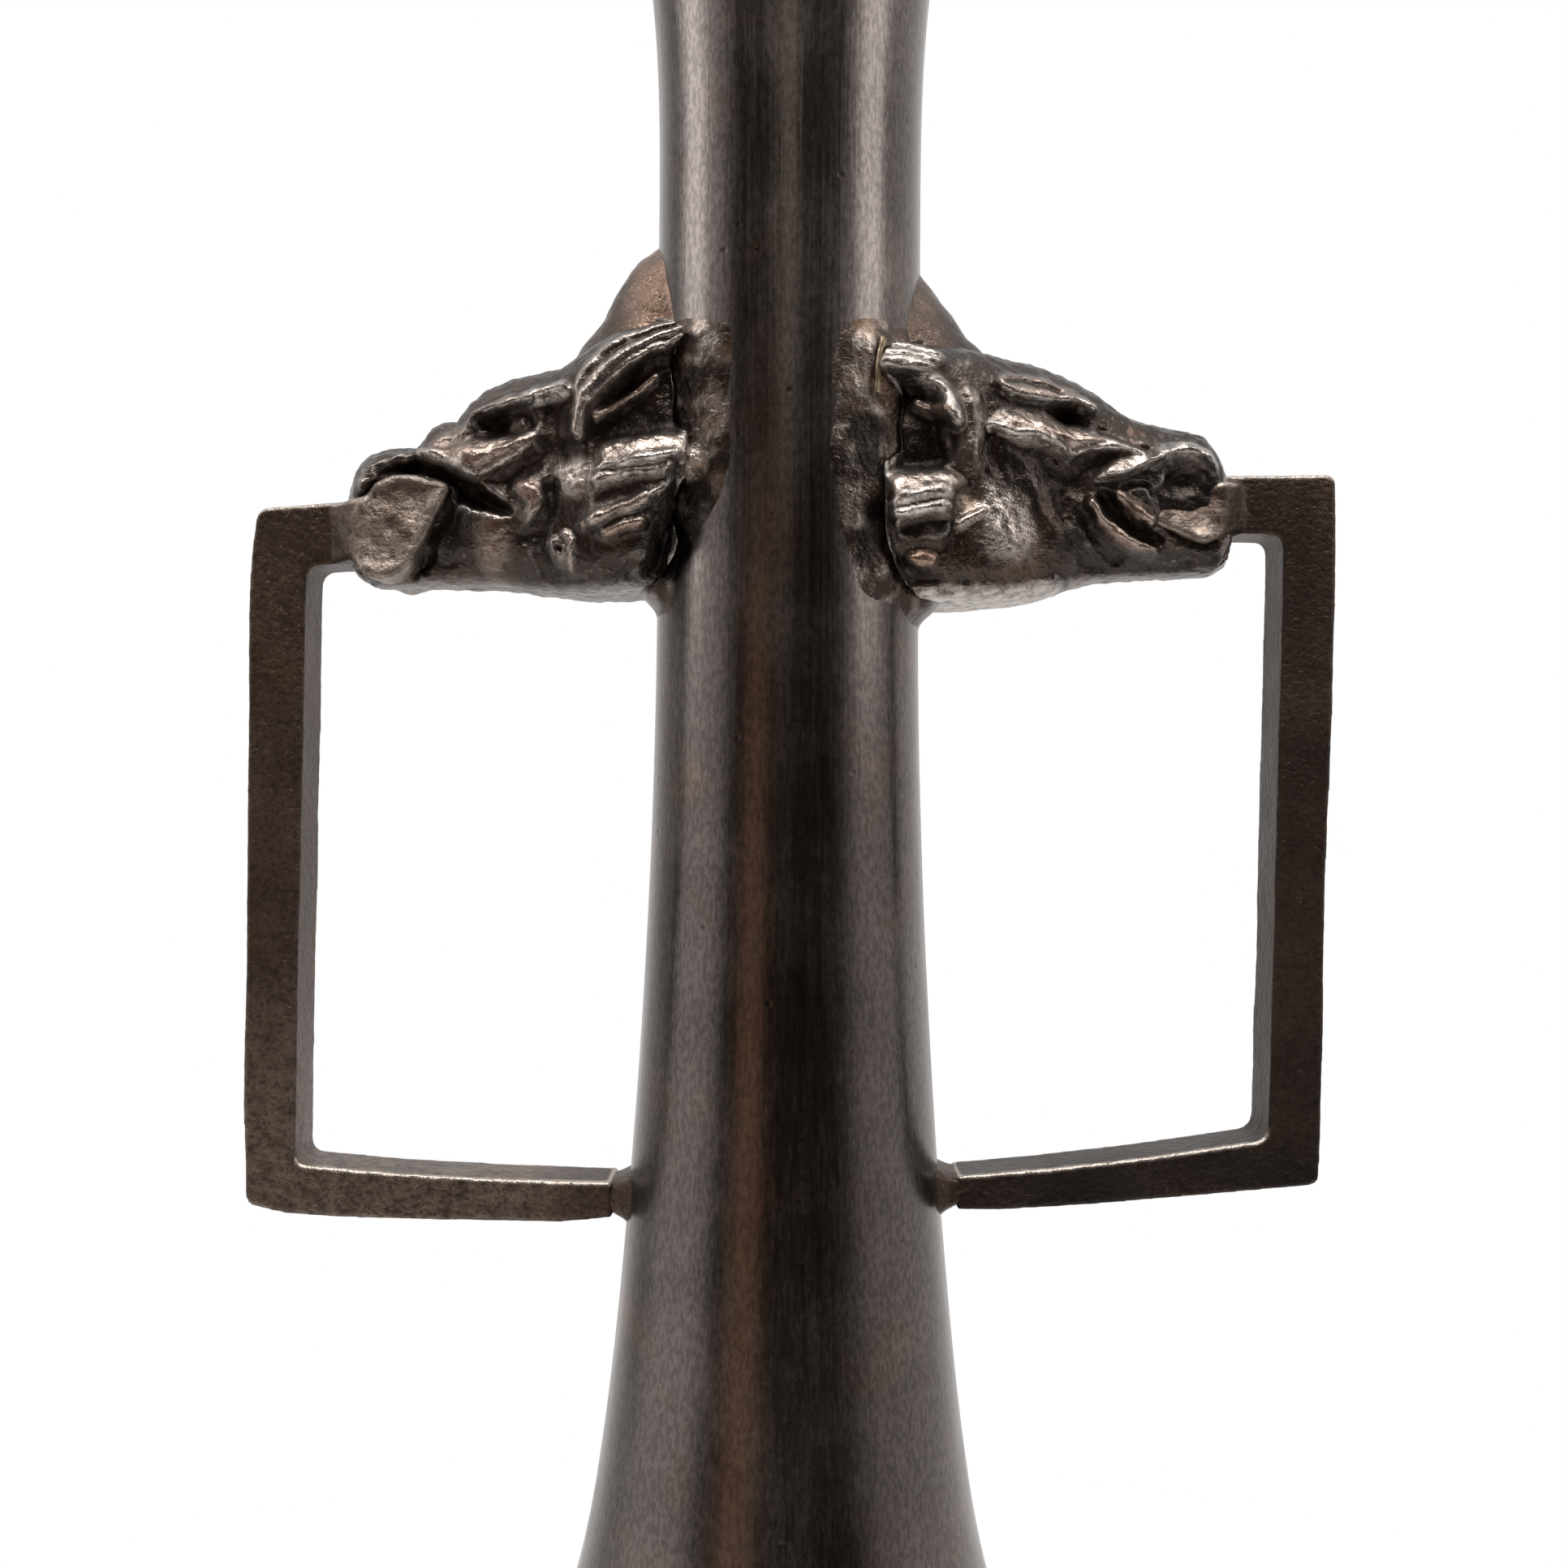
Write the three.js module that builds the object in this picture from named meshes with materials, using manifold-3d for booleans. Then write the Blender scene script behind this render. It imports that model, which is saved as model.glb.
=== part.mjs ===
// A bronze flower vase with a long trumpet neck and two squared handles held in the mouths of beasts.
// Millimetres, +Z up. The origin is the middle of the foot's underside, on the axis of the vase.
// The handles lie along X, and a handle's own frame has +X pointing away from the neck.

import * as THREE from "three";
import { mergeVertices } from "three/addons/utils/BufferGeometryUtils.js";
import Module from "manifold-3d";

const wasm = await Module();
wasm.setup();

// Fits
const CLEARANCE = 0.3;

// Foot ring and the plate soldered into it
const FOOT_HEIGHT = 13;
const COLLAR_RADIUS = 29;
const FOOT_SPREAD = 6;
const FOOT_EDGE = 3;
const FOOT_RIM = 4;
const FOOT_WALL = 2.6;
const FOOT_SPIGOT = 4;
const PLATE_THICKNESS = 2.4;
const PLATE_RECESS = 4.8;
const PLATE_LEDGE = 3.5;
const SOLDER_BEAD = 1.6;

// Body
const BODY_HEIGHT = 83;
const BODY_WALL = 3;
const BODY_COLLAR = 3;
const BELLY_RADIUS = 46;
const BELLY_HEIGHT = 32;
const BELLY_FULLNESS = 19;
const SHOULDER_REACH = 18;
const UNDERSIDE_REACH = 9;

// Neck, from the shoulder joint up to the rim
const NECK_RADIUS = 13.1;
const NECK_WALL = 3;
const TAPER_LENGTH = 101;
const TAPER_SPREAD = 6.8;
const TAPER_POWER = 1.85;
const SHOULDER_SPREAD = 2.4;
const SHOULDER_POWER = 11;
const MOUTH_LENGTH = 54;
const MOUTH_SPREAD = 12;
const MOUTH_POWER = 3.1;
const LIP_ROUND = 1.5;
const NECK_SPIGOT = 6;
const NECK_LAP = 1.6;

// Saddles, the curved seats between the neck and the heads
const SADDLE_THICKNESS = 1.2;
const SADDLE_HEIGHT = 36;
const SADDLE_SHOULDER = 26;
const SADDLE_TIP = 2.6;
const SADDLE_ANGLE = THREE.MathUtils.degToRad(60);
const SADDLE_MARGIN = 1.5;

// Beast heads in side view, measured outwards from the saddle and up from the line of the mouth.
// A section is its distance out, its lowest and highest points and its half width.
const MOUTH_LINE = 7.5;
const HEAD_LENGTH = 28.9;
const SECTION_SPACING = 1.1;
const HEAD_SECTIONS = [
  [-5.5, -7.4, 18.6, 10.3],
  [-2, -7.5, 18.2, 10.4],
  [2, -7.5, 17.2, 9.7],
  [5.6, -7.5, 15.9, 8.8],
  [8.8, -7.4, 15.3, 8],
  [12.1, -6.9, 14.9, 7.3],
  [14.9, -6.6, 13.8, 6.8],
  [17.2, -6.6, 11.9, 6.4],
  [19, -6.6, 10.2, 6.1],
  [20.3, -6.6, 9.6, 6],
  [21.5, -6.6, 8.4, 5.8],
  [23.5, -6.6, 7.7, 5.6],
  [26.8, -6.6, 7.1, 5.2],
  [28, -5.9, 6.3, 4.6],
  [28.6, -4.6, 4.6, 3.8],
];

// The face is chased in strokes that swell or sink along a line, as far as its width
const FACE_STROKES = [
  { piece: "nostril", line: [[25.6, 3.6], [22.4, 5.2]], width: 2.6, height: 0.9 },
  { piece: "lip", line: [[21.4, 5.4], [18, 4.8], [14.9, 3.4]], width: 1.5, height: 1.1 },
  { piece: "mouth", line: [[18.6, 3.2], [15.4, 1.8], [12.4, 0.2]], width: 1.9, height: -1.7 },
  { piece: "cheek", line: [[18.3, 7.4], [15, 6.4], [11.2, 6.6]], width: 2.3, height: 1.3 },
  { piece: "brow", line: [[15.9, 9.4], [12.6, 10.9], [7.4, 12]], width: 2, height: 1.5 },
  { piece: "socket", line: [[14.6, 8.6], [10.4, 8.7]], width: 1.4, height: -1.3 },
  { piece: "eye", line: [[13.2, 8.6], [12.2, 8.7]], width: 1.3, height: 1.1 },
  { piece: "temple", line: [[7.7, 10.4], [7.7, 5.6]], width: 1.9, height: -1.4 },
  { piece: "ear", line: [[5.2, 7.6], [3.4, 12.4], [0.3, 15.2], [-5.1, 17.3]], width: 2.5, height: 2.2 },
  { piece: "ear hollow", line: [[2.4, 8.8], [-3, 11.6]], width: 2.7, height: -1.1 },
  { piece: "ledge", line: [[3, 6.2], [-4, 6.6]], width: 1.4, height: 1.1 },
  { piece: "tuft", line: [[3.2, 1.2], [-3, 2.9]], width: 3.4, height: 2.1 },
  { piece: "lock", line: [[4.9, -1.2], [-1.2, 1.1]], width: 1.2, height: 0.7 },
  { piece: "nape", line: [[-6, 2.4], [-1.6, -4.8]], width: 2, height: -1.4 },
  { piece: "jaw", line: [[8.4, -2.4], [7.8, -4]], width: 2.6, height: 1 },
  { piece: "jowl", line: [[12.2, -0.2], [10.6, -1.6]], width: 2.2, height: 0.9 },
  { piece: "chin", line: [[24, -5.8], [13, -5.4]], width: 1.9, height: 0.7 },
];
const CREST_THICKNESS = 4.2;
const CREST_EDGE = 0.8;
const CREST_OUTLINE = [
  [-4, 11],
  [8.5, 12],
  [5.4, 16.6],
  [3.6, 20.4, 1],
  [1.8, 25.2, 1],
  [0.4, 26.6, 0.8],
  [-4, 26.6],
];
const DOWEL_RADIUS = 2.2;
const DOWEL_DEPTH = 8;
const DOWEL_RISE = 4;

// Handles, squared bars with a flared tongue at the top and a tenon at the foot
const BAR_WIDTH = 4.9;
const BAR_DEPTH = 6.4;
const BAR_EDGE = 0.35;
const BAR_STANDOFF = 4.3;
const FOOT_BAR_WIDTH = 3.1;
const INNER_FILLET = 1.5;
const OUTER_ROUND = 0.7;
const TONGUE_WIDTH = 9.4;
const TENON_HEIGHT = 1.8;
const TENON_DEPTH = 4;
const SOLDER_PAD = 1.3;
const SOLDER_MARGIN = 0.8;

// The two handles were bent by hand and differ: heights are from the line of the mouth,
// lean is how far the bar's lower corner stands out beyond its upper one,
// and a tongue is an outline of distances from the saddle and heights from that line.
const LEFT = {
  name: "left",
  turn: Math.PI,
  snoutLift: 0,
  cornerTop: 0.8,
  barTop: 1.35,
  barHeight: 5.5,
  lean: 0.85,
  standoff: BAR_STANDOFF,
  cornerFoot: -68.2,
  neckFoot: -67,
  footCornerWidth: 4.3,
  tongue: [[27.9, 3.9], [19.3, 3.3], [26.4, -6.8], [28.2, -5.4]],
};
const RIGHT = {
  name: "right",
  turn: 0,
  snoutLift: 1.9,
  cornerTop: 4.3,
  barTop: 4.2,
  barHeight: 5,
  lean: -1.3,
  standoff: BAR_STANDOFF + LEFT.lean,
  cornerFoot: -65.2,
  neckFoot: -66.15,
  footCornerWidth: 4.4,
  tongue: [[27.6, 5.6], [22.1, 3.6], [22.4, 0.6], [28.2, -0.8]],
};

// Sizes that follow from the ones above
const SEGMENTS = 40;
const SHOULDER_Z = FOOT_HEIGHT + BODY_HEIGHT;
const TAPER_TOP = SHOULDER_Z + TAPER_LENGTH;
const FLARE_Z = TAPER_TOP + SADDLE_HEIGHT + 2 * SADDLE_MARGIN;
const RIM_Z = FLARE_Z + MOUTH_LENGTH;
const SADDLE_Z = TAPER_TOP + SADDLE_MARGIN;
const MOUTH_Z = SADDLE_Z + MOUTH_LINE;
const DOWEL_Z = MOUTH_Z + DOWEL_RISE;
const SADDLE_INNER = NECK_RADIUS + CLEARANCE;
const SADDLE_OUTER = SADDLE_INNER + SADDLE_THICKNESS;
const SEAT_RADIUS = SADDLE_OUTER + CLEARANCE;
const JOINT_RADIUS = NECK_RADIUS + TAPER_SPREAD + SHOULDER_SPREAD;
const NECK_SPIGOT_RADIUS = JOINT_RADIUS - NECK_LAP;
const COLLAR_BORE = COLLAR_RADIUS - BODY_WALL;
const FOOT_SPIGOT_RADIUS = COLLAR_BORE - CLEARANCE;
const FOOT_BORE = FOOT_SPIGOT_RADIUS - FOOT_WALL;
const PLATE_RADIUS = FOOT_BORE + PLATE_LEDGE;
const PLATE_POCKET = PLATE_RADIUS + CLEARANCE;
const FOOT_RADIUS = COLLAR_RADIUS + FOOT_SPREAD;
const FOOT_OPENING = FOOT_RADIUS - FOOT_RIM;

// Cast bronze under a dark brown patina, and the paler filler metal of the joints
function bronze(colour, roughness) {
  return new THREE.MeshStandardMaterial({ color: colour, roughness, metalness: 0.85 });
}

const SMOOTH_BRONZE = { colour: 0x2b211d, roughness: 0.32 };
const RUBBED_BRONZE = { colour: 0x5a4a40, roughness: 0.45 };
const DULL_BRONZE = { colour: 0x2e2620, roughness: 0.55 };
const FILLER_METAL = { colour: 0x7d6238, roughness: 0.5 };

function toSolid(geometry) {
  const plain = geometry.clone();
  plain.deleteAttribute("normal");
  plain.deleteAttribute("uv");
  const merged = mergeVertices(plain, 1e-4);
  const mesh = new wasm.Mesh({
    numProp: 3,
    vertProperties: new Float32Array(merged.attributes.position.array),
    triVerts: new Uint32Array(merged.index.array),
  });
  return new wasm.Manifold(mesh);
}

function toGeometry(solid) {
  const mesh = solid.getMesh();
  const geometry = new THREE.BufferGeometry();
  geometry.setAttribute("position", new THREE.BufferAttribute(mesh.vertProperties, 3));
  geometry.setIndex(new THREE.BufferAttribute(mesh.triVerts, 1));
  return geometry;
}

function namedMesh(name, geometry, finish) {
  const mesh = new THREE.Mesh(geometry, bronze(finish.colour, finish.roughness));
  mesh.name = name;
  return mesh;
}

// A ring or a full turning, from [radius, height] points that run up the outside
function turned(points) {
  const profile = points.map(([radius, height]) => new THREE.Vector2(radius, height));
  const geometry = new THREE.LatheGeometry(profile, SEGMENTS);
  geometry.rotateX(Math.PI / 2);
  return geometry;
}

function ring(points) {
  return turned([...points, points[0]]);
}

// An outline in X and Z, with corners rounded where a point has a radius, drawn through along Y
function roundedShape(points) {
  const shape = new THREE.Shape();
  const corners = points.map(([x, z]) => new THREE.Vector2(x, z));
  corners.forEach((corner, index) => {
    const before = corners.at(index - 1);
    const after = corners[(index + 1) % corners.length];
    const radius = points[index][2] ?? 0;
    const start = corner.clone().add(before.clone().sub(corner).setLength(radius));
    const end = corner.clone().add(after.clone().sub(corner).setLength(radius));
    if (index === 0) {
      shape.moveTo(start.x, start.y);
    } else {
      shape.lineTo(start.x, start.y);
    }
    if (radius > 0) {
      shape.quadraticCurveTo(corner.x, corner.y, end.x, end.y);
    }
  });
  shape.closePath();
  return shape;
}

function drawnThrough(shape, width, edge = 0) {
  const geometry = new THREE.ExtrudeGeometry(shape, {
    depth: width - 2 * edge,
    curveSegments: 4,
    bevelEnabled: edge > 0,
    bevelThickness: edge,
    bevelSize: edge,
    bevelOffset: -edge,
    bevelSegments: 1,
  });
  geometry.rotateX(Math.PI / 2);
  geometry.translate(0, width / 2 - edge, 0);
  return geometry;
}

// The same outline grown all round by the clearance, for the slot that takes it
function slotFor(shape, width) {
  const geometry = new THREE.ExtrudeGeometry(shape, {
    depth: width,
    curveSegments: 4,
    bevelThickness: CLEARANCE,
    bevelSize: CLEARANCE,
    bevelSegments: 1,
  });
  geometry.rotateX(Math.PI / 2);
  geometry.translate(0, width / 2, 0);
  return geometry;
}

function block(width, depth, height, x, z) {
  const geometry = new THREE.BoxGeometry(width, depth, height);
  geometry.translate(x, 0, z);
  return geometry;
}

function peg(radius, from, to, z) {
  const geometry = new THREE.CylinderGeometry(radius, radius, to - from, 16);
  geometry.rotateZ(Math.PI / 2);
  geometry.translate((from + to) / 2, 0, z);
  return geometry;
}

// Neck: outside radius at a height, a slow taper that quickens at the shoulder and a trumpet mouth
function neckRadius(z) {
  const drop = Math.max(0, TAPER_TOP - z) / TAPER_LENGTH;
  const rise = Math.max(0, z - FLARE_Z) / MOUTH_LENGTH;
  const taper = TAPER_SPREAD * drop ** TAPER_POWER + SHOULDER_SPREAD * drop ** SHOULDER_POWER;
  return NECK_RADIUS + taper + MOUTH_SPREAD * rise ** MOUTH_POWER;
}

function heightsBetween(low, high, steps) {
  return Array.from({ length: steps + 1 }, (_, step) => low + ((high - low) * step) / steps);
}

function barEnd(side) {
  return neckRadius(MOUTH_Z + side.neckFoot) + SOLDER_PAD + 2 * CLEARANCE;
}

function tenonEnd(side) {
  return neckRadius(MOUTH_Z + side.neckFoot) - NECK_WALL + CLEARANCE;
}

function tenonHole(side) {
  const from = tenonEnd(side) - NECK_WALL;
  const to = barEnd(side) - CLEARANCE / 2;
  const height = TENON_HEIGHT + 2 * CLEARANCE;
  const depth = TENON_DEPTH + 2 * CLEARANCE;
  return block(to - from, depth, height, (from + to) / 2, MOUTH_Z + side.neckFoot);
}

function dowelHole() {
  const from = NECK_RADIUS - NECK_WALL - CLEARANCE;
  return peg(DOWEL_RADIUS + CLEARANCE, from, SEAT_RADIUS + DOWEL_DEPTH + CLEARANCE, DOWEL_Z);
}

function neckGeometry() {
  const lipRadius = NECK_RADIUS + MOUTH_SPREAD;
  const lipZ = RIM_Z - LIP_ROUND;
  const outside = [
    ...heightsBetween(SHOULDER_Z, TAPER_TOP, 9),
    ...heightsBetween(FLARE_Z, lipZ, 7),
  ].map((z) => [neckRadius(z), z]);
  const lip = heightsBetween(0, Math.PI, 4).map((angle) => [
    lipRadius - NECK_WALL / 2 + (NECK_WALL / 2) * Math.cos(angle),
    lipZ + LIP_ROUND * Math.sin(angle),
  ]);
  lip.shift();
  lip.pop();
  const inside = [
    ...heightsBetween(lipZ, FLARE_Z, 5),
    ...heightsBetween(TAPER_TOP, SHOULDER_Z, 5),
  ].map((z) => [neckRadius(z) - NECK_WALL, z]);
  const spigot = [
    [JOINT_RADIUS - NECK_WALL, SHOULDER_Z - NECK_SPIGOT],
    [NECK_SPIGOT_RADIUS, SHOULDER_Z - NECK_SPIGOT],
    [NECK_SPIGOT_RADIUS, SHOULDER_Z],
  ];
  let solid = toSolid(ring([...outside, ...lip, ...inside, ...spigot]));
  for (const side of [LEFT, RIGHT]) {
    for (const hole of [dowelHole(), tenonHole(side)]) {
      solid = solid.subtract(toSolid(hole.rotateZ(side.turn)));
    }
  }
  return toGeometry(solid);
}

// Body: the outside curve runs down from the shoulder to the belly and in to the collar
function bodyCurve() {
  const slope = (TAPER_SPREAD * TAPER_POWER + SHOULDER_SPREAD * SHOULDER_POWER) / TAPER_LENGTH;
  const bellyZ = FOOT_HEIGHT + BELLY_HEIGHT;
  const collarZ = FOOT_HEIGHT + BODY_COLLAR;
  const shoulder = new THREE.CubicBezierCurve(
    new THREE.Vector2(JOINT_RADIUS, SHOULDER_Z),
    new THREE.Vector2(JOINT_RADIUS + slope * SHOULDER_REACH, SHOULDER_Z - SHOULDER_REACH),
    new THREE.Vector2(BELLY_RADIUS, bellyZ + BELLY_FULLNESS),
    new THREE.Vector2(BELLY_RADIUS, bellyZ),
  );
  const underside = new THREE.CubicBezierCurve(
    new THREE.Vector2(BELLY_RADIUS, bellyZ),
    new THREE.Vector2(BELLY_RADIUS, bellyZ - BELLY_FULLNESS),
    new THREE.Vector2(COLLAR_RADIUS + UNDERSIDE_REACH, collarZ),
    new THREE.Vector2(COLLAR_RADIUS, collarZ),
  );
  const path = new THREE.CurvePath();
  path.add(shoulder);
  path.add(underside);
  return path;
}

function bodyGeometry() {
  const path = bodyCurve();
  const samples = heightsBetween(1, 0, 12);
  const outer = samples.map((at) => path.getPoint(at));
  const inner = samples.map((at) => {
    const tangent = path.getTangent(at);
    return path.getPoint(at).add(new THREE.Vector2(tangent.y, -tangent.x).setLength(BODY_WALL));
  });
  const outside = outer.map((point) => [point.x, point.y]);
  const hollow = inner.map((point) => [point.x, point.y]);
  const socket = NECK_SPIGOT_RADIUS + CLEARANCE;
  const above = SHOULDER_Z + BODY_WALL;
  const ledge = SHOULDER_Z - NECK_SPIGOT - CLEARANCE;
  const below = FOOT_HEIGHT - BODY_WALL;
  const full = turned([[0, FOOT_HEIGHT], [COLLAR_RADIUS, FOOT_HEIGHT], ...outside, [0, SHOULDER_Z]]);
  const cavity = turned([[0, hollow[0][1]], ...hollow, [0, hollow.at(-1)[1]]]);
  const opening = turned([[0, ledge - NECK_SPIGOT], [socket, ledge - NECK_SPIGOT], [socket, above], [0, above]]);
  const collarTop = FOOT_HEIGHT + BODY_COLLAR + 2 * BODY_WALL;
  const drain = turned([[0, below], [COLLAR_BORE, below], [COLLAR_BORE, collarTop], [0, collarTop]]);
  return toGeometry(
    toSolid(full).subtract(toSolid(cavity)).subtract(toSolid(opening)).subtract(toSolid(drain)),
  );
}

// Foot ring: a flared foot with a spigot for the body and a ledge that the plate is pushed up to
function footGeometry() {
  const flare = heightsBetween(0, Math.PI / 2, 5).map((angle) => [
    FOOT_RADIUS - FOOT_SPREAD * Math.sin(angle),
    FOOT_HEIGHT - (FOOT_HEIGHT - FOOT_EDGE) * Math.cos(angle),
  ]);
  const ledge = PLATE_RECESS + PLATE_THICKNESS + CLEARANCE;
  const spigotTop = FOOT_HEIGHT + FOOT_SPIGOT;
  return ring([
    [FOOT_OPENING, 0],
    [FOOT_RADIUS, 0],
    ...flare,
    [FOOT_SPIGOT_RADIUS, FOOT_HEIGHT],
    [FOOT_SPIGOT_RADIUS, spigotTop],
    [FOOT_BORE, spigotTop],
    [FOOT_BORE, ledge],
    [PLATE_POCKET, ledge],
    [PLATE_POCKET, PLATE_RECESS],
  ]);
}

function plateGeometry() {
  const top = PLATE_RECESS + PLATE_THICKNESS;
  return turned([[0, PLATE_RECESS], [PLATE_RADIUS, PLATE_RECESS], [PLATE_RADIUS, top], [0, top]]);
}

// Solder: a bead under the rim of the plate, and one inside each joint of the body
function plateSolder() {
  const top = PLATE_RECESS - CLEARANCE;
  const bottom = top - SOLDER_BEAD;
  const wallAt = (z) => FOOT_OPENING + ((PLATE_POCKET - FOOT_OPENING) * z) / PLATE_RECESS - CLEARANCE;
  return ring([
    [PLATE_RADIUS - SOLDER_BEAD, top],
    [wallAt(bottom) - SOLDER_BEAD / 4, bottom],
    [wallAt(bottom), bottom],
    [wallAt(top), top],
  ]);
}

function footSolder() {
  const low = FOOT_HEIGHT + FOOT_SPIGOT + CLEARANCE;
  return ring([
    [FOOT_SPIGOT_RADIUS - SOLDER_BEAD, low],
    [FOOT_SPIGOT_RADIUS, low],
    [FOOT_SPIGOT_RADIUS, low + SOLDER_BEAD],
  ]);
}

function neckSolder() {
  const high = SHOULDER_Z - NECK_SPIGOT - CLEARANCE;
  return ring([
    [NECK_SPIGOT_RADIUS, high - SOLDER_BEAD],
    [NECK_SPIGOT_RADIUS, high],
    [NECK_SPIGOT_RADIUS - SOLDER_BEAD, high],
  ]);
}

// Saddle: a curved seat that follows the neck, shouldered below the head's crest
function saddleGeometry() {
  const sector = new THREE.Shape();
  sector.absarc(0, 0, SADDLE_OUTER, -SADDLE_ANGLE, SADDLE_ANGLE, false);
  sector.absarc(0, 0, SADDLE_INNER, SADDLE_ANGLE, -SADDLE_ANGLE, true);
  sector.closePath();
  const seat = new THREE.ExtrudeGeometry(sector, {
    depth: SADDLE_HEIGHT,
    curveSegments: 10,
    bevelEnabled: false,
  });
  seat.translate(0, 0, SADDLE_Z);
  const shoulderZ = SADDLE_Z + SADDLE_SHOULDER;
  const tipZ = SADDLE_Z + SADDLE_HEIGHT;
  const halfWidth = SADDLE_OUTER * Math.sin(SADDLE_ANGLE);
  const corner = (SADDLE_HEIGHT - SADDLE_SHOULDER) / 2;
  const face = roundedShape([
    [-halfWidth - CLEARANCE, SADDLE_Z - CLEARANCE],
    [halfWidth + CLEARANCE, SADDLE_Z - CLEARANCE],
    [halfWidth + CLEARANCE, shoulderZ, corner],
    [SADDLE_TIP, shoulderZ + corner],
    [SADDLE_TIP, tipZ + CLEARANCE],
    [-SADDLE_TIP, tipZ + CLEARANCE],
    [-SADDLE_TIP, shoulderZ + corner],
    [-halfWidth - CLEARANCE, shoulderZ, corner],
  ]);
  const trim = drawnThrough(face, 2 * SADDLE_OUTER + 2 * CLEARANCE);
  trim.rotateZ(Math.PI / 2);
  return toGeometry(toSolid(seat).intersect(toSolid(trim)).subtract(toSolid(dowelHole())));
}

// Beast head: a skull and snout lofted through the sections, with the strokes of the face on both sides
function sectionAt(out) {
  const next = HEAD_SECTIONS.findIndex((section) => section[0] >= out);
  const after = HEAD_SECTIONS[Math.max(next, 1)];
  const before = HEAD_SECTIONS[Math.max(next, 1) - 1];
  const share = (out - before[0]) / (after[0] - before[0]);
  return before.map((value, index) => THREE.MathUtils.lerp(value, after[index], share));
}

function distanceToLine(line, point) {
  const nearest = new THREE.Vector3();
  let least = Infinity;
  for (let index = 1; index < line.length; index += 1) {
    const [from, to] = [line[index - 1], line[index]].map(([out, up]) => new THREE.Vector3(out, 0, up));
    new THREE.Line3(from, to).closestPointToPoint(point, true, nearest);
    least = Math.min(least, nearest.distanceTo(point));
  }
  return least;
}

function faceRelief(out, up) {
  const point = new THREE.Vector3(out, 0, up);
  let relief = 0;
  for (const { line, width, height } of FACE_STROKES) {
    const reach = Math.min(1, distanceToLine(line, point) / width);
    relief += height * (1 - reach ** 2) ** 2;
  }
  return relief;
}

function skullGeometry(side) {
  const first = HEAD_SECTIONS[0][0];
  const last = HEAD_SECTIONS.at(-1)[0];
  const rows = Math.round((last - first) / SECTION_SPACING);
  const sides = 44;
  const squareness = 0.72;
  const positions = [];
  const index = [];
  for (const station of heightsBetween(first, last, rows)) {
    const [out, low, high, halfWidth] = sectionAt(station);
    const lift = (side.snoutLift * Math.max(0, out)) / HEAD_LENGTH;
    for (let step = 0; step < sides; step += 1) {
      const angle = (2 * Math.PI * step) / sides;
      const across = Math.sign(Math.cos(angle)) * Math.abs(Math.cos(angle)) ** squareness;
      const rise = Math.sign(Math.sin(angle)) * Math.abs(Math.sin(angle)) ** squareness;
      const up = (low + high) / 2 + ((high - low) / 2) * rise;
      const flank = Math.sign(across) * Math.min(1, 1.6 * Math.abs(across));
      positions.push(out, halfWidth * across + flank * faceRelief(out, up), up + lift);
    }
  }
  for (let row = 0; row < rows; row += 1) {
    for (let step = 0; step < sides; step += 1) {
      const a = row * sides + step;
      const b = row * sides + ((step + 1) % sides);
      index.push(a, b, a + sides, b, b + sides, a + sides);
    }
  }
  const end = rows * sides;
  for (let step = 1; step < sides - 1; step += 1) {
    index.push(0, step + 1, step);
    index.push(end, end + step, end + step + 1);
  }
  const geometry = new THREE.BufferGeometry();
  geometry.setAttribute("position", new THREE.Float32BufferAttribute(positions, 3));
  geometry.setIndex(index);
  return geometry.translate(SEAT_RADIUS, 0, MOUTH_Z);
}

// Crest: the fin that runs from the brow up against the neck
function crestGeometry() {
  const outline = roundedShape(CREST_OUTLINE);
  return drawnThrough(outline, CREST_THICKNESS, CREST_EDGE).translate(SEAT_RADIUS, 0, MOUTH_Z);
}

function headGeometry(side) {
  const solid = toSolid(skullGeometry(side)).add(toSolid(crestGeometry()));
  const tall = 4 * SADDLE_HEIGHT;
  const neckCut = new THREE.CylinderGeometry(SEAT_RADIUS, SEAT_RADIUS, tall, SEGMENTS);
  neckCut.rotateX(Math.PI / 2).translate(0, 0, MOUTH_Z);
  const mouthCut = slotFor(tongueShape(side), 3 * TONGUE_WIDTH);
  return toGeometry(
    solid.subtract(toSolid(neckCut)).subtract(toSolid(mouthCut)).subtract(toSolid(dowelHole())),
  );
}

// Handle: the flared tongue in the beast's mouth, three sides of squared bar, and the tenon
function tongueShape(side) {
  const root = SEAT_RADIUS + HEAD_LENGTH;
  const barBottom = side.barTop - side.barHeight;
  return roundedShape([
    [root + 1, MOUTH_Z + barBottom],
    [root + 1, MOUTH_Z + side.barTop],
    [root, MOUTH_Z + side.barTop],
    ...side.tongue.map(([out, up]) => [SEAT_RADIUS + out, MOUTH_Z + up]),
  ]);
}

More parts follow.
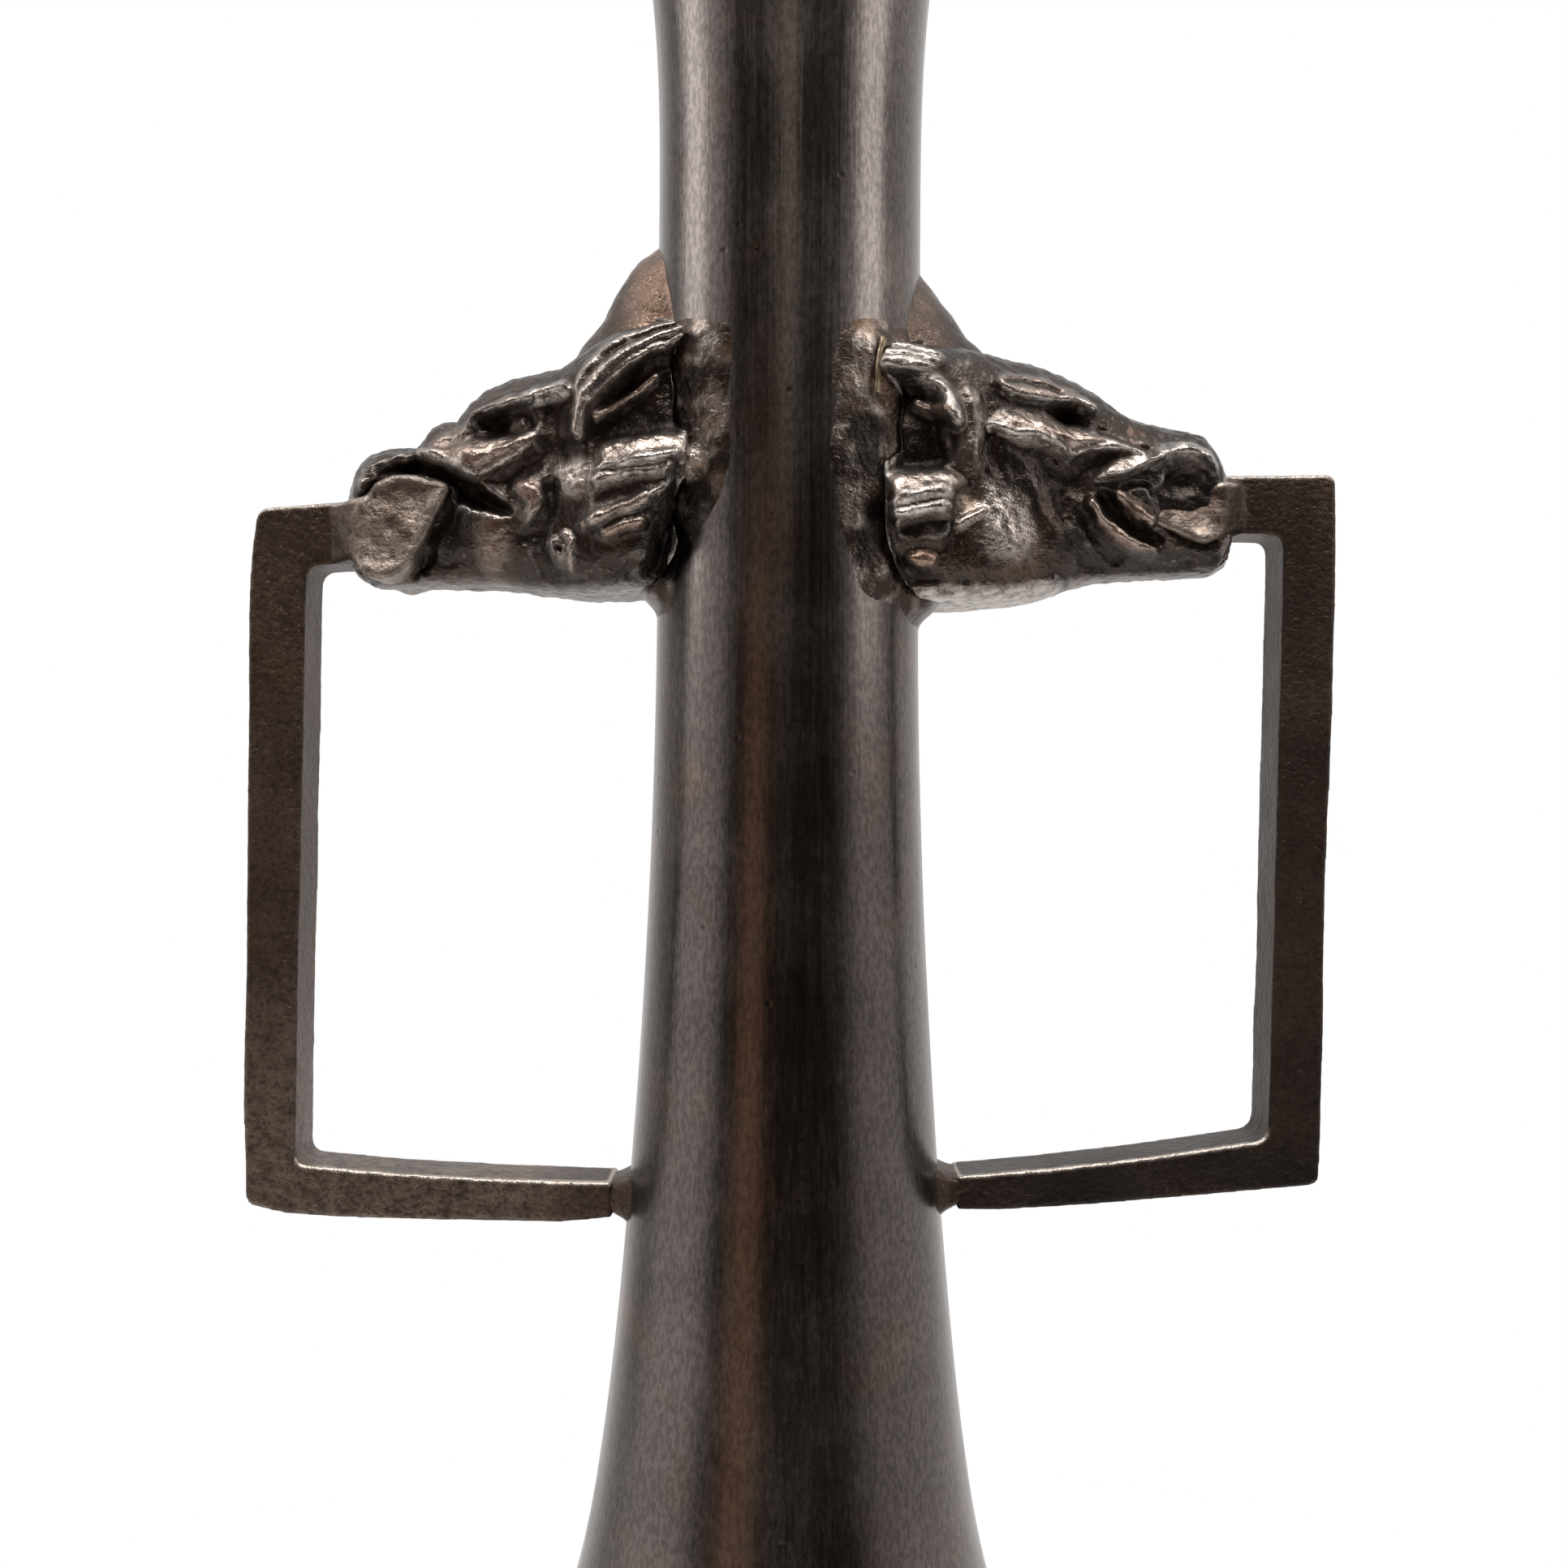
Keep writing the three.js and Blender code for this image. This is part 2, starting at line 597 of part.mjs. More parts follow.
function handleGeometry(side) {
  const innerTop = SEAT_RADIUS + HEAD_LENGTH + side.standoff;
  const outerTop = innerTop + BAR_WIDTH;
  const root = SEAT_RADIUS + HEAD_LENGTH;
  const cornerFoot = MOUTH_Z + side.cornerFoot;
  const neckFoot = MOUTH_Z + side.neckFoot;
  const end = barEnd(side);
  const bar = roundedShape([
    [root, MOUTH_Z + side.barTop - side.barHeight],
    [innerTop, MOUTH_Z + side.cornerTop - side.barHeight, INNER_FILLET],
    [innerTop + side.lean, cornerFoot + side.footCornerWidth, INNER_FILLET],
    [end, neckFoot + FOOT_BAR_WIDTH / 2],
    [end, neckFoot - FOOT_BAR_WIDTH / 2],
    [outerTop + side.lean, cornerFoot, OUTER_ROUND],
    [outerTop, MOUTH_Z + side.cornerTop, OUTER_ROUND],
    [root, MOUTH_Z + side.barTop],
  ]);
  const inserted = tenonEnd(side);
  const overlap = BAR_WIDTH;
  const tenonWidth = end + overlap - inserted;
  const tenon = block(tenonWidth, TENON_DEPTH, TENON_HEIGHT, inserted + tenonWidth / 2, neckFoot);
  const tongue = drawnThrough(tongueShape(side), TONGUE_WIDTH, BAR_EDGE);
  return toGeometry(
    toSolid(drawnThrough(bar, BAR_DEPTH, BAR_EDGE)).add(toSolid(tongue)).add(toSolid(tenon)),
  );
}

// Solder pad: the fillet of filler metal round the tenon, between the bar's end and the neck
function solderPad(side) {
  const z = MOUTH_Z + side.neckFoot;
  const face = barEnd(side) - CLEARANCE;
  const height = FOOT_BAR_WIDTH + 2 * SOLDER_MARGIN;
  const depth = BAR_DEPTH + 2 * SOLDER_MARGIN;
  const thickness = SOLDER_PAD + NECK_WALL;
  const pad = block(thickness, depth, height, face - thickness / 2, z);
  const reach = 2 * height;
  const above = neckRadius(z + reach) + CLEARANCE;
  const below = neckRadius(z - reach) + CLEARANCE;
  const neckCut = new THREE.CylinderGeometry(above, below, 2 * reach, SEGMENTS);
  neckCut.rotateX(Math.PI / 2).translate(0, 0, z);
  return toGeometry(toSolid(pad).subtract(toSolid(neckCut)).subtract(toSolid(tenonHole(side))));
}

function dowelGeometry() {
  return peg(DOWEL_RADIUS, NECK_RADIUS - NECK_WALL + CLEARANCE, SEAT_RADIUS + DOWEL_DEPTH, DOWEL_Z);
}

function handleAssembly(side) {
  const group = new THREE.Group();
  group.rotation.z = side.turn;
  group.add(namedMesh(`${side.name}_saddle`, saddleGeometry(), RUBBED_BRONZE));
  group.add(namedMesh(`${side.name}_head`, headGeometry(side), RUBBED_BRONZE));
  group.add(namedMesh(`${side.name}_dowel`, dowelGeometry(), DULL_BRONZE));
  group.add(namedMesh(`${side.name}_handle`, handleGeometry(side), DULL_BRONZE));
  group.add(namedMesh(`${side.name}_handle_solder`, solderPad(side), FILLER_METAL));
  return group;
}

const vase = new THREE.Group();
vase.add(namedMesh("neck", neckGeometry(), SMOOTH_BRONZE));
vase.add(namedMesh("body", bodyGeometry(), SMOOTH_BRONZE));
vase.add(namedMesh("foot_ring", footGeometry(), SMOOTH_BRONZE));
vase.add(namedMesh("base_plate", plateGeometry(), DULL_BRONZE));
vase.add(namedMesh("neck_joint_solder", neckSolder(), FILLER_METAL));
vase.add(namedMesh("foot_joint_solder", footSolder(), FILLER_METAL));
vase.add(namedMesh("base_plate_solder", plateSolder(), FILLER_METAL));
for (const side of [LEFT, RIGHT]) {
  vase.add(handleAssembly(side));
}

export default vase;
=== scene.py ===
import contextlib
import math

import bpy
import numpy as np
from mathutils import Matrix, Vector, noise


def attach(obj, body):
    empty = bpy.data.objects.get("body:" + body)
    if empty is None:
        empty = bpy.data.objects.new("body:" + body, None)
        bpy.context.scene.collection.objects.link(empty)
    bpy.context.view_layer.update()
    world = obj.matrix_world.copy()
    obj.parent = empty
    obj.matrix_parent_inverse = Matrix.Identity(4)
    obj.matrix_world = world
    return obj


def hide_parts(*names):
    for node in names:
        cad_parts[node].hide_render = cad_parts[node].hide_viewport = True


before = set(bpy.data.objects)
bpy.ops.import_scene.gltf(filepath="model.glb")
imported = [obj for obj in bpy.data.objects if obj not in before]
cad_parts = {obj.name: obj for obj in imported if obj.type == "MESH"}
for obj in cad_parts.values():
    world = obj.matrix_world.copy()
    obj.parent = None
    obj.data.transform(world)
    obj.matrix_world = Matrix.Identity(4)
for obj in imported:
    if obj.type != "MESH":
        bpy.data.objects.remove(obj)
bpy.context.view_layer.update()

MM = 0.001


# Studio
# A round pale table stands before a white sweep. A soft box hangs on each side and overhead, and the
# camera's own side of the room is dark, with one warm brown upright that the polished neck reflects.
PHOTO_PIXELS = 1932
FOCAL_PIXELS = 1949
SENSOR_WIDTH = 36.0
AXIS_PIXEL = 969.3
CAMERA_DISTANCE = 159 * MM
CAMERA_HEIGHT = 180 * MM
CAMERA_ROLL = math.radians(-0.34)
CAMERA_CLIP = 5 * MM
SWEEP_WHITE = (1.0, 1.0, 1.0, 1.0)
# bearing in degrees, brightness and warmth
ROOM_LIGHT = [
    (-180, 1.0, 0.03), (-150, 1.0, 0.03), (-132, 0.75, 0.03), (-118, 0.42, 0.03), (-107, 0.55, 0.03),
    (-98, 1.0, 0.03), (-66, 1.0, 0.03), (-58, 0.55, 0.05), (-50, 0.10, 0.15), (-44, 0.026, 0.35),
    (38, 0.022, 0.35), (48, 0.14, 0.15), (56, 0.46, 0.08), (66, 0.62, 0.06), (78, 0.66, 0.04),
    (110, 0.85, 0.03), (140, 1.0, 0.03), (180, 1.0, 0.03),
]
WARM_GREEN = 0.8
# where a change over the view's height or over an offset starts and ends, and its values there
CEILING_LIGHT = (0.55, 0.95, 0.0, 0.8)
UPRIGHT_BEARING = (0.07, 0.26, math.radians(-29), math.radians(0))
UPRIGHT_HALF_WIDTH = (-0.10, 0.26, math.radians(12), math.radians(7))
UPRIGHT_EDGE = (1.0, 0.6)
UPRIGHT_GLOW = (0.10, 0.26)
UPRIGHT_LOW_COLOUR = (0.57, 0.345, 0.225, 1.0)
UPRIGHT_HIGH_COLOUR = (0.80, 0.72, 0.62, 1.0)
# name, bearing in degrees, then distance, height, width and length in millimetres, and power
SOFT_BOXES = [
    ("left_soft_box", -90, 620, 520, 250, 520, 1.35),
    ("right_soft_box", 72, 620, 510, 270, 520, 1.35),
    ("top_soft_box", 0, 320, 840, 640, 420, 7.5),
]
TABLE_COLOUR = (0.86, 0.86, 0.855, 1.0)
TABLE_RADIUS = 260 * MM
TABLE_ROUGHNESS = 0.9
TABLE_GLOW = 0.34

scene = bpy.context.scene
scene.view_settings.view_transform = "Standard"


def new_node(tree, kind, **settings):
    node = tree.nodes.new(kind)
    for key, value in settings.items():
        setattr(node, key, value)
    return node


def feed(socket, value):
    """Links a socket to another node's output, or sets it to a plain value."""
    if isinstance(value, bpy.types.NodeSocket):
        socket.id_data.links.new(value, socket)
    else:
        socket.default_value = value


def fed_node(kind, values, **settings):
    """A node with these inputs, in the tree that they come from."""
    tree = next(value.id_data for value in values.values() if isinstance(value, bpy.types.NodeSocket))
    node = new_node(tree, kind, **settings)
    for label, value in values.items():
        feed(node.inputs[label], value)
    return node


def math_node(operation, *values, clamp=False):
    values = dict(enumerate(values))
    return fed_node("ShaderNodeMath", values, operation=operation, use_clamp=clamp).outputs[0]


def times(first, second, clamp=False):
    return math_node("MULTIPLY", first, second, clamp=clamp)


def smooth_range(value, low, high, to_low=0.0, to_high=1.0):
    values = dict(enumerate((value, low, high, to_low, to_high)))
    return fed_node("ShaderNodeMapRange", values, interpolation_type="SMOOTHSTEP").outputs[0]


def mix_colour(factor, first, second, blend="MIX"):
    values = {0: factor, 6: first, 7: second}
    return fed_node("ShaderNodeMix", values, data_type="RGBA", blend_type=blend).outputs[2]


def camera_ray(tree):
    return new_node(tree, "ShaderNodeLightPath").outputs["Is Camera Ray"]


def studio_camera():
    lens = bpy.data.cameras.new("photo_camera")
    lens.sensor_width = SENSOR_WIDTH
    lens.lens = SENSOR_WIDTH * FOCAL_PIXELS / PHOTO_PIXELS
    lens.clip_start = CAMERA_CLIP
    camera = bpy.data.objects.new("photo_camera", lens)
    scene.collection.objects.link(camera)
    side_step = (PHOTO_PIXELS / 2 - AXIS_PIXEL) * CAMERA_DISTANCE / FOCAL_PIXELS
    camera.location = (side_step, -CAMERA_DISTANCE, CAMERA_HEIGHT)
    camera.rotation_euler = (math.radians(90), CAMERA_ROLL, 0)
    scene.camera = camera


def studio_world():
    world = bpy.data.worlds.new("studio_room")
    scene.world = world
    world.use_nodes = True
    tree = world.node_tree
    tree.nodes.clear()
    direction = new_node(tree, "ShaderNodeTexCoord").outputs["Generated"]
    across, along, up = fed_node("ShaderNodeSeparateXYZ", {0: direction}).outputs
    bearing = math_node("ARCTAN2", across, times(along, -1.0))
    ramp = fed_node("ShaderNodeValToRGB", {0: math_node("MULTIPLY_ADD", bearing, 1 / math.tau, 0.5)})
    stops = ramp.color_ramp.elements
    while len(stops) < len(ROOM_LIGHT):
        stops.new(1.0)
    for stop, (degrees, light, warmth) in zip(stops, ROOM_LIGHT):
        stop.position = degrees / 360 + 0.5
        stop.color = (light, light * (1 - WARM_GREEN * warmth), light * (1 - warmth), 1.0)
    room = mix_colour(smooth_range(up, *CEILING_LIGHT), ramp.outputs[0], SWEEP_WHITE)
    centre = smooth_range(up, *UPRIGHT_BEARING)
    offset = math_node("ABSOLUTE", math_node("SUBTRACT", bearing, centre))
    offset = math_node("DIVIDE", offset, smooth_range(up, *UPRIGHT_HALF_WIDTH))
    glow = mix_colour(smooth_range(up, *UPRIGHT_GLOW), UPRIGHT_LOW_COLOUR, UPRIGHT_HIGH_COLOUR)
    room = mix_colour(smooth_range(offset, *UPRIGHT_EDGE), room, glow)
    background = fed_node("ShaderNodeBackground", {0: mix_colour(camera_ray(tree), room, SWEEP_WHITE)})
    fed_node("ShaderNodeOutputWorld", {"Surface": background.outputs[0]})


def studio_table():
    bpy.ops.mesh.primitive_circle_add(vertices=128, radius=TABLE_RADIUS, fill_type="NGON")
    table = bpy.context.object
    table.name = "table_top"
    paint = bpy.data.materials.new("pale_table")
    paint.use_nodes = True
    tree = paint.node_tree
    glow = times(camera_ray(tree), TABLE_GLOW)
    surface = {"Base Color": TABLE_COLOUR, "Roughness": TABLE_ROUGHNESS, "Emission Color": SWEEP_WHITE,
               "Emission Strength": glow}
    for label, value in surface.items():
        feed(tree.nodes["Principled BSDF"].inputs[label], value)
    table.data.materials.append(paint)


def soft_box(name, bearing, distance, height, width, length, power):
    lamp = bpy.data.lights.new(name, "AREA")
    lamp.shape = "RECTANGLE"
    lamp.size = width
    lamp.size_y = length
    lamp.energy = power
    box = bpy.data.objects.new(name, lamp)
    scene.collection.objects.link(box)
    place = Vector((math.sin(bearing) * distance, -math.cos(bearing) * distance, height))
    box.location = place
    aim = Vector((0, 0, CAMERA_HEIGHT)) - place
    box.rotation_euler = aim.to_track_quat("-Z", "Y").to_euler()


studio_camera()
studio_world()
studio_table()
for name, bearing, *lengths, power in SOFT_BOXES:
    soft_box(name, math.radians(bearing), *(length * MM for length in lengths), power)


# Neck
# The long neck is one bronze casting, turned and filed smooth along its length, then patinated dark brown.
# It widens slowly down to the shoulder joint and opens into a trumpet mouth with a rounded lip.
NECK_RADIUS = 13.1 * MM
NECK_WALL = 3.0 * MM
SHOULDER_Z = 96 * MM
TAPER_TOP = 197 * MM
FLARE_Z = 236 * MM
RIM_Z = 290 * MM
LIP_HEIGHT = 1.5 * MM
TAPER_SPREAD, TAPER_POWER = 6.8 * MM, 1.85
SHOULDER_SPREAD, SHOULDER_POWER = 2.4 * MM, 11
MOUTH_SPREAD, MOUTH_POWER = 12.0 * MM, 3.1
TURNING_STEPS = 192
TURNING_WELD = 0.01 * MM
SHARP_ANGLE = math.radians(40)
# depth in millimetres, waves round the neck, their turn with each millimetre of height, and their start
FILED_WAVES = [(0.030, 2, 0.02, 0.0), (0.018, 5, 0.013, 1.3)]
# depth, waves round, turn, and how its depth comes and goes with height
FILED_RIPPLE = (0.012, 3, 0.21, 0.057)
SMOOTH_PATINA = {"Dark": (0.098, 0.084, 0.077, 1), "Pale": (0.148, 0.128, 0.118, 1),
                 "Warm": (0.190, 0.124, 0.092, 1), "Warmth": 0.45}
PINHOLE_BROWN = (0.05, 0.035, 0.03, 1)


def neck_radius(z):
    drop = max(0.0, TAPER_TOP - z) / (TAPER_TOP - SHOULDER_Z)
    rise = max(0.0, z - FLARE_Z) / (RIM_Z - FLARE_Z)
    taper = TAPER_SPREAD * drop ** TAPER_POWER
    shoulder = SHOULDER_SPREAD * drop ** SHOULDER_POWER
    return NECK_RADIUS + taper + shoulder + MOUTH_SPREAD * rise ** MOUTH_POWER


def outline_loop(name, points):
    """A closed wire with one corner for each point, made from a circle whose corners are moved there."""
    bpy.ops.mesh.primitive_circle_add(vertices=len(points), radius=1, fill_type="NOTHING")
    piece = bpy.context.object
    piece.name = name
    for corner, point in zip(piece.data.vertices, points):
        corner.co = point
    return piece


@contextlib.contextmanager
def mesh_edit():
    """Opens the active piece with all of it selected, and turns its faces outward at the end."""
    bpy.ops.object.mode_set(mode="EDIT")
    bpy.ops.mesh.select_all(action="SELECT")
    yield
    bpy.ops.mesh.select_all(action="SELECT")
    bpy.ops.mesh.normals_make_consistent(inside=False)
    bpy.ops.object.mode_set(mode="OBJECT")


def turned_piece(name, profile):
    """A closed profile of radius and height, spun once round the axis of the vase."""
    piece = outline_loop(name, [(radius, 0, z) for radius, z in profile])
    with mesh_edit():
        bpy.ops.mesh.spin(steps=TURNING_STEPS, angle=math.tau, center=(0, 0, 0), axis=(0, 0, 1))
        bpy.ops.mesh.select_all(action="SELECT")
        bpy.ops.mesh.remove_doubles(threshold=TURNING_WELD)
    bpy.ops.object.shade_smooth_by_angle(angle=SHARP_ANGLE)
    return piece


def between(low, high, steps):
    return [low + (high - low) * step / steps for step in range(steps + 1)]


def read_vectors(items, field):
    vectors = np.empty(len(items) * 3)
    items.foreach_get(field, vectors)
    return vectors.reshape(-1, 3)


def get_points(piece):
    return read_vectors(piece.data.vertices, "co")


def set_points(piece, points):
    piece.data.vertices.foreach_set("co", points.ravel())
    piece.data.update()


def neck_piece():
    lip_z = RIM_Z - LIP_HEIGHT
    outside = [(neck_radius(z), z) for z in between(SHOULDER_Z, lip_z, steps=130)]
    top = neck_radius(RIM_Z) - NECK_WALL / 2
    rim = [
        (top + NECK_WALL / 2 * math.cos(angle), lip_z + LIP_HEIGHT * math.sin(angle))
        for angle in between(0, math.pi, steps=10)
    ]
    inside = [(neck_radius(z) - NECK_WALL, z) for z in between(lip_z, SHOULDER_Z, steps=50)]
    piece = turned_piece("neck_tube", outside + rim[1:-1] + inside)
    points = get_points(piece)
    bearing = np.arctan2(points[:, 1], points[:, 0])
    height = points[:, 2] / MM
    wave = sum(depth * np.sin(count * bearing + turn * height + start)
               for depth, count, turn, start in FILED_WAVES)
    depth, count, turn, swell = FILED_RIPPLE
    wave += depth * np.sin(turn * height + count * bearing) * np.sin(swell * height)
    reach = np.hypot(points[:, 0], points[:, 1])[:, None]
    points[:, :2] += points[:, :2] / reach * (wave * MM)[:, None]
    set_points(piece, points)
    return piece


def node_group(name, inputs, outputs):
    group = bpy.data.node_groups.new(name, "ShaderNodeTree")
    for way, sockets in (("INPUT", inputs), ("OUTPUT", outputs)):
        for label, kind in sockets.items():
            group.interface.new_socket(label, in_out=way, socket_type="NodeSocket" + kind)
    return group, group.nodes.new("NodeGroupInput").outputs, group.nodes.new("NodeGroupOutput").inputs


def noise_node(vector, scale, detail, roughness, distortion=0.0):
    values = {"Vector": vector, "Scale": scale, "Detail": detail, "Roughness": roughness,
              "Distortion": distortion}
    return fed_node("ShaderNodeTexNoise", values).outputs["Fac"]


def stretched(vector, along):
    return fed_node("ShaderNodeMapping", {"Vector": vector, "Scale": (1.0, 1.0, along)}).outputs[0]


def patina_clouds():
    """Soft brown and black clouds of a chemical patina, with a warm blush where it is thin."""
    group, given, made = node_group(
        "patina_clouds",
        {"Vector": "Vector", "Dark": "Color", "Pale": "Color", "Warm": "Color", "Warmth": "Float"},
        {"Colour": "Color", "Clouds": "Float"},
    )
    vector = given["Vector"]
    broad = noise_node(vector, scale=55.0, detail=5.0, roughness=0.6, distortion=0.4)
    small = times(noise_node(vector, scale=420.0, detail=3.0, roughness=0.6), 0.35)
    clouds = math_node("MULTIPLY_ADD", smooth_range(broad, low=0.32, high=0.68), 0.65, small)
    colour = mix_colour(clouds, given["Dark"], given["Pale"])
    blush = noise_node(vector, scale=90.0, detail=4.0, roughness=0.65, distortion=0.6)
    blush = times(smooth_range(blush, low=0.52, high=0.78), given["Warmth"])
    feed(made["Colour"], mix_colour(blush, colour, given["Warm"]))
    feed(made["Clouds"], clouds)
    return group


def casting_pits():
    """Pinholes and soft dimples left by the mould, as a mask and a height."""
    group, given, made = node_group(
        "casting_pits", {"Vector": "Vector", "Scale": "Float", "Share": "Float"},
        {"Pits": "Float", "Height": "Float"},
    )
    cells = fed_node("ShaderNodeTexVoronoi", {label: given[label] for label in ("Vector", "Scale")}).outputs
    chosen = fed_node("ShaderNodeSeparateColor", {0: cells["Color"]}).outputs[0]
    hole = smooth_range(cells["Distance"], low=0.30, high=0.05)
    pits = times(hole, math_node("LESS_THAN", chosen, given["Share"]))
    soft = noise_node(given["Vector"], scale=700.0, detail=4.0, roughness=0.6)
    feed(made["Pits"], pits)
    feed(made["Height"], math_node("SUBTRACT", times(soft, 0.5), pits))
    return group


def file_marks():
    """Fine marks of file and stone that run up and down the piece, as a mask and a height."""
    group, given, made = node_group(
        "file_marks", {"Vector": "Vector"}, {"Marks": "Float", "Height": "Float"})
    fine = stretched(given["Vector"], along=0.022)
    fine = noise_node(fine, scale=2600.0, detail=3.0, roughness=0.7)
    broad = stretched(given["Vector"], along=0.05)
    broad = noise_node(broad, scale=620.0, detail=3.0, roughness=0.6)
    height = math_node("ADD", times(fine, 0.55), times(broad, 0.45))
    feed(made["Marks"], smooth_range(height, low=0.42, high=0.62))
    feed(made["Height"], height)
    return group


PATINA_CLOUDS = patina_clouds()
CASTING_PITS = casting_pits()
FILE_MARKS = file_marks()


def placed_group(group, **values):
    return fed_node("ShaderNodeGroup", values, node_tree=group).outputs


def bump_node(height, strength, distance, **under):
    values = {"Height": height, "Strength": strength, "Distance": distance * MM, **under}
    return fed_node("ShaderNodeBump", values).outputs[0]


def tinted(colour, mask, strength, tint):
    return mix_colour(times(mask, strength), colour, tint)


def new_finish(name, patina, **pitting):
    """A material that starts from what all the metals here share: clouds of patina and casting pits."""
    finish = bpy.data.materials.new(name)
    finish.use_nodes = True
    place = new_node(finish.node_tree, "ShaderNodeTexCoord").outputs["Object"]
    clouds = placed_group(PATINA_CLOUDS, Vector=place, **patina)
    return finish, place, clouds, placed_group(CASTING_PITS, Vector=place, **pitting)


def set_surface(finish, colour, metallic, roughness, normal):
    shader = finish.node_tree.nodes["Principled BSDF"]
    surface = {"Base Color": colour, "Metallic": metallic, "Roughness": roughness, "Normal": normal}
    for label, value in surface.items():
        feed(shader.inputs[label], value)
    return finish


def smooth_bronze():
    """Polished casting: near-black brown and satin, with lengthwise marks, thin clouds, few pinholes."""
    finish, place, clouds, pits = new_finish("smooth_bronze", SMOOTH_PATINA, Scale=640.0, Share=0.03)
    marks = placed_group(FILE_MARKS, Vector=place)
    colour = tinted(clouds["Colour"], pits["Pits"], 0.7, PINHOLE_BROWN)
    grain = noise_node(stretched(place, along=0.45), scale=2600.0, detail=2.0, roughness=0.6)
    grain = smooth_range(grain, low=0.36, high=0.64, to_low=0.80, to_high=1.22)
    colour = mix_colour(1.0, colour, grain, "MULTIPLY")
    rough = math_node("MULTIPLY_ADD", clouds["Clouds"], 0.10, 0.19)
    rough = math_node("ADD", rough, times(marks["Marks"], 0.06))
    normal = bump_node(marks["Height"], strength=0.34, distance=0.06)
    normal = bump_node(pits["Height"], strength=0.30, distance=0.10, Normal=normal)
    return set_surface(finish, colour, 1.0, rough, normal)


SMOOTH_BRONZE = smooth_bronze()


def dress(piece, finish):
    piece.data.materials.clear()
    piece.data.materials.append(finish)


def finish_piece(piece, finish, slot, *nodes):
    dress(piece, finish)
    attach(piece, "root")
    if nodes:
        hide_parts(*nodes)


finish_piece(neck_piece(), SMOOTH_BRONZE, "smooth_bronze", "neck")


# Body
# The pear-shaped body is a second casting, soldered to the neck inside a lap joint that is filed flush.
# Its wall is even, so the hollow inside follows the outside from the shoulder down to the collar.
BODY_WALL = 3.0 * MM
COLLAR_RADIUS = 29 * MM
FOOT_TOP = 13 * MM
COLLAR_TOP = 16 * MM
BELLY_RADIUS = 46 * MM
BELLY_Z = 45 * MM
BELLY_FULLNESS = 19 * MM
SHOULDER_REACH = 18 * MM
UNDERSIDE_REACH = 9 * MM
BODY_STEPS = 40


def bezier(*corners):
    rows = []
    for t in between(0, 1, BODY_STEPS):
        s = 1 - t
        weights = (s ** 3, 3 * s * s * t, 3 * s * t * t, t ** 3)
        rows.append([sum(w * p[k] for w, p in zip(weights, corners)) for k in range(2)])
    return rows


def body_piece():
    joint = NECK_RADIUS + TAPER_SPREAD + SHOULDER_SPREAD
    slope = (TAPER_SPREAD * TAPER_POWER + SHOULDER_SPREAD * SHOULDER_POWER) / (TAPER_TOP - SHOULDER_Z)
    shoulder = bezier(
        (joint, SHOULDER_Z), (joint + slope * SHOULDER_REACH, SHOULDER_Z - SHOULDER_REACH),
        (BELLY_RADIUS, BELLY_Z + BELLY_FULLNESS), (BELLY_RADIUS, BELLY_Z),
    )
    underside = bezier(
        (BELLY_RADIUS, BELLY_Z), (BELLY_RADIUS, BELLY_Z - BELLY_FULLNESS),
        (COLLAR_RADIUS + UNDERSIDE_REACH, COLLAR_TOP), (COLLAR_RADIUS, COLLAR_TOP),
    )
    curve = np.array(shoulder + underside[1:])
    along = np.gradient(curve, axis=0)
    inward = np.stack([along[:, 1], -along[:, 0]], axis=1)
    inner = curve + inward / np.linalg.norm(inward, axis=1)[:, None] * BODY_WALL
    inner = [point for point in inner if COLLAR_TOP < point[1] < SHOULDER_Z]
    collar = [(COLLAR_RADIUS, FOOT_TOP), (COLLAR_RADIUS - BODY_WALL, FOOT_TOP)]
    return turned_piece("body_shell", [*curve, *collar, *inner[::-1]])


finish_piece(body_piece(), SMOOTH_BRONZE, "smooth_bronze", "body")


# Foot ring and base plate
# The spreading foot is a third casting. The round base plate was let in from below, after the core was
# taken out, and a bead of hard solder runs round its edge. The plate is left duller.
FOOT_RADIUS = 35 * MM
FOOT_EDGE = 3 * MM
FOOT_CHAMFER = 0.5 * MM
FOOT_OPENING = 31 * MM
FOOT_BORE = 23.1 * MM
PLATE_TOP = 7.5 * MM
PLATE_RADIUS = 26.9 * MM
PLATE_BOTTOM = 4.8 * MM
DULL_PATINA = {"Dark": (0.060, 0.046, 0.036, 1), "Pale": (0.105, 0.086, 0.070, 1),
               "Warm": (0.130, 0.078, 0.050, 1), "Warmth": 0.5}
DULL_PIT_BROWN = (0.03, 0.022, 0.018, 1)
SOLDER_PATINA = {"Dark": (0.12, 0.095, 0.07, 1), "Pale": (0.36, 0.29, 0.19, 1),
                 "Warm": (0.30, 0.17, 0.08, 1), "Warmth": 0.4}


def foot_piece():
    flare = [
        (FOOT_RADIUS - (FOOT_RADIUS - COLLAR_RADIUS) * math.sin(angle),
         FOOT_TOP - (FOOT_TOP - FOOT_EDGE) * math.cos(angle))
        for angle in between(0, math.pi / 2, steps=24)
    ]
    outside = [
        (FOOT_OPENING, 0), (FOOT_RADIUS - FOOT_CHAMFER, 0), (FOOT_RADIUS, FOOT_CHAMFER),
        (FOOT_RADIUS, FOOT_EDGE - FOOT_CHAMFER),
    ]
    inside = [
        (FOOT_BORE, FOOT_TOP), (FOOT_BORE, PLATE_TOP), (PLATE_RADIUS, PLATE_TOP),
        (PLATE_RADIUS, PLATE_BOTTOM),
    ]
    return turned_piece("foot_casting", outside + flare + inside)


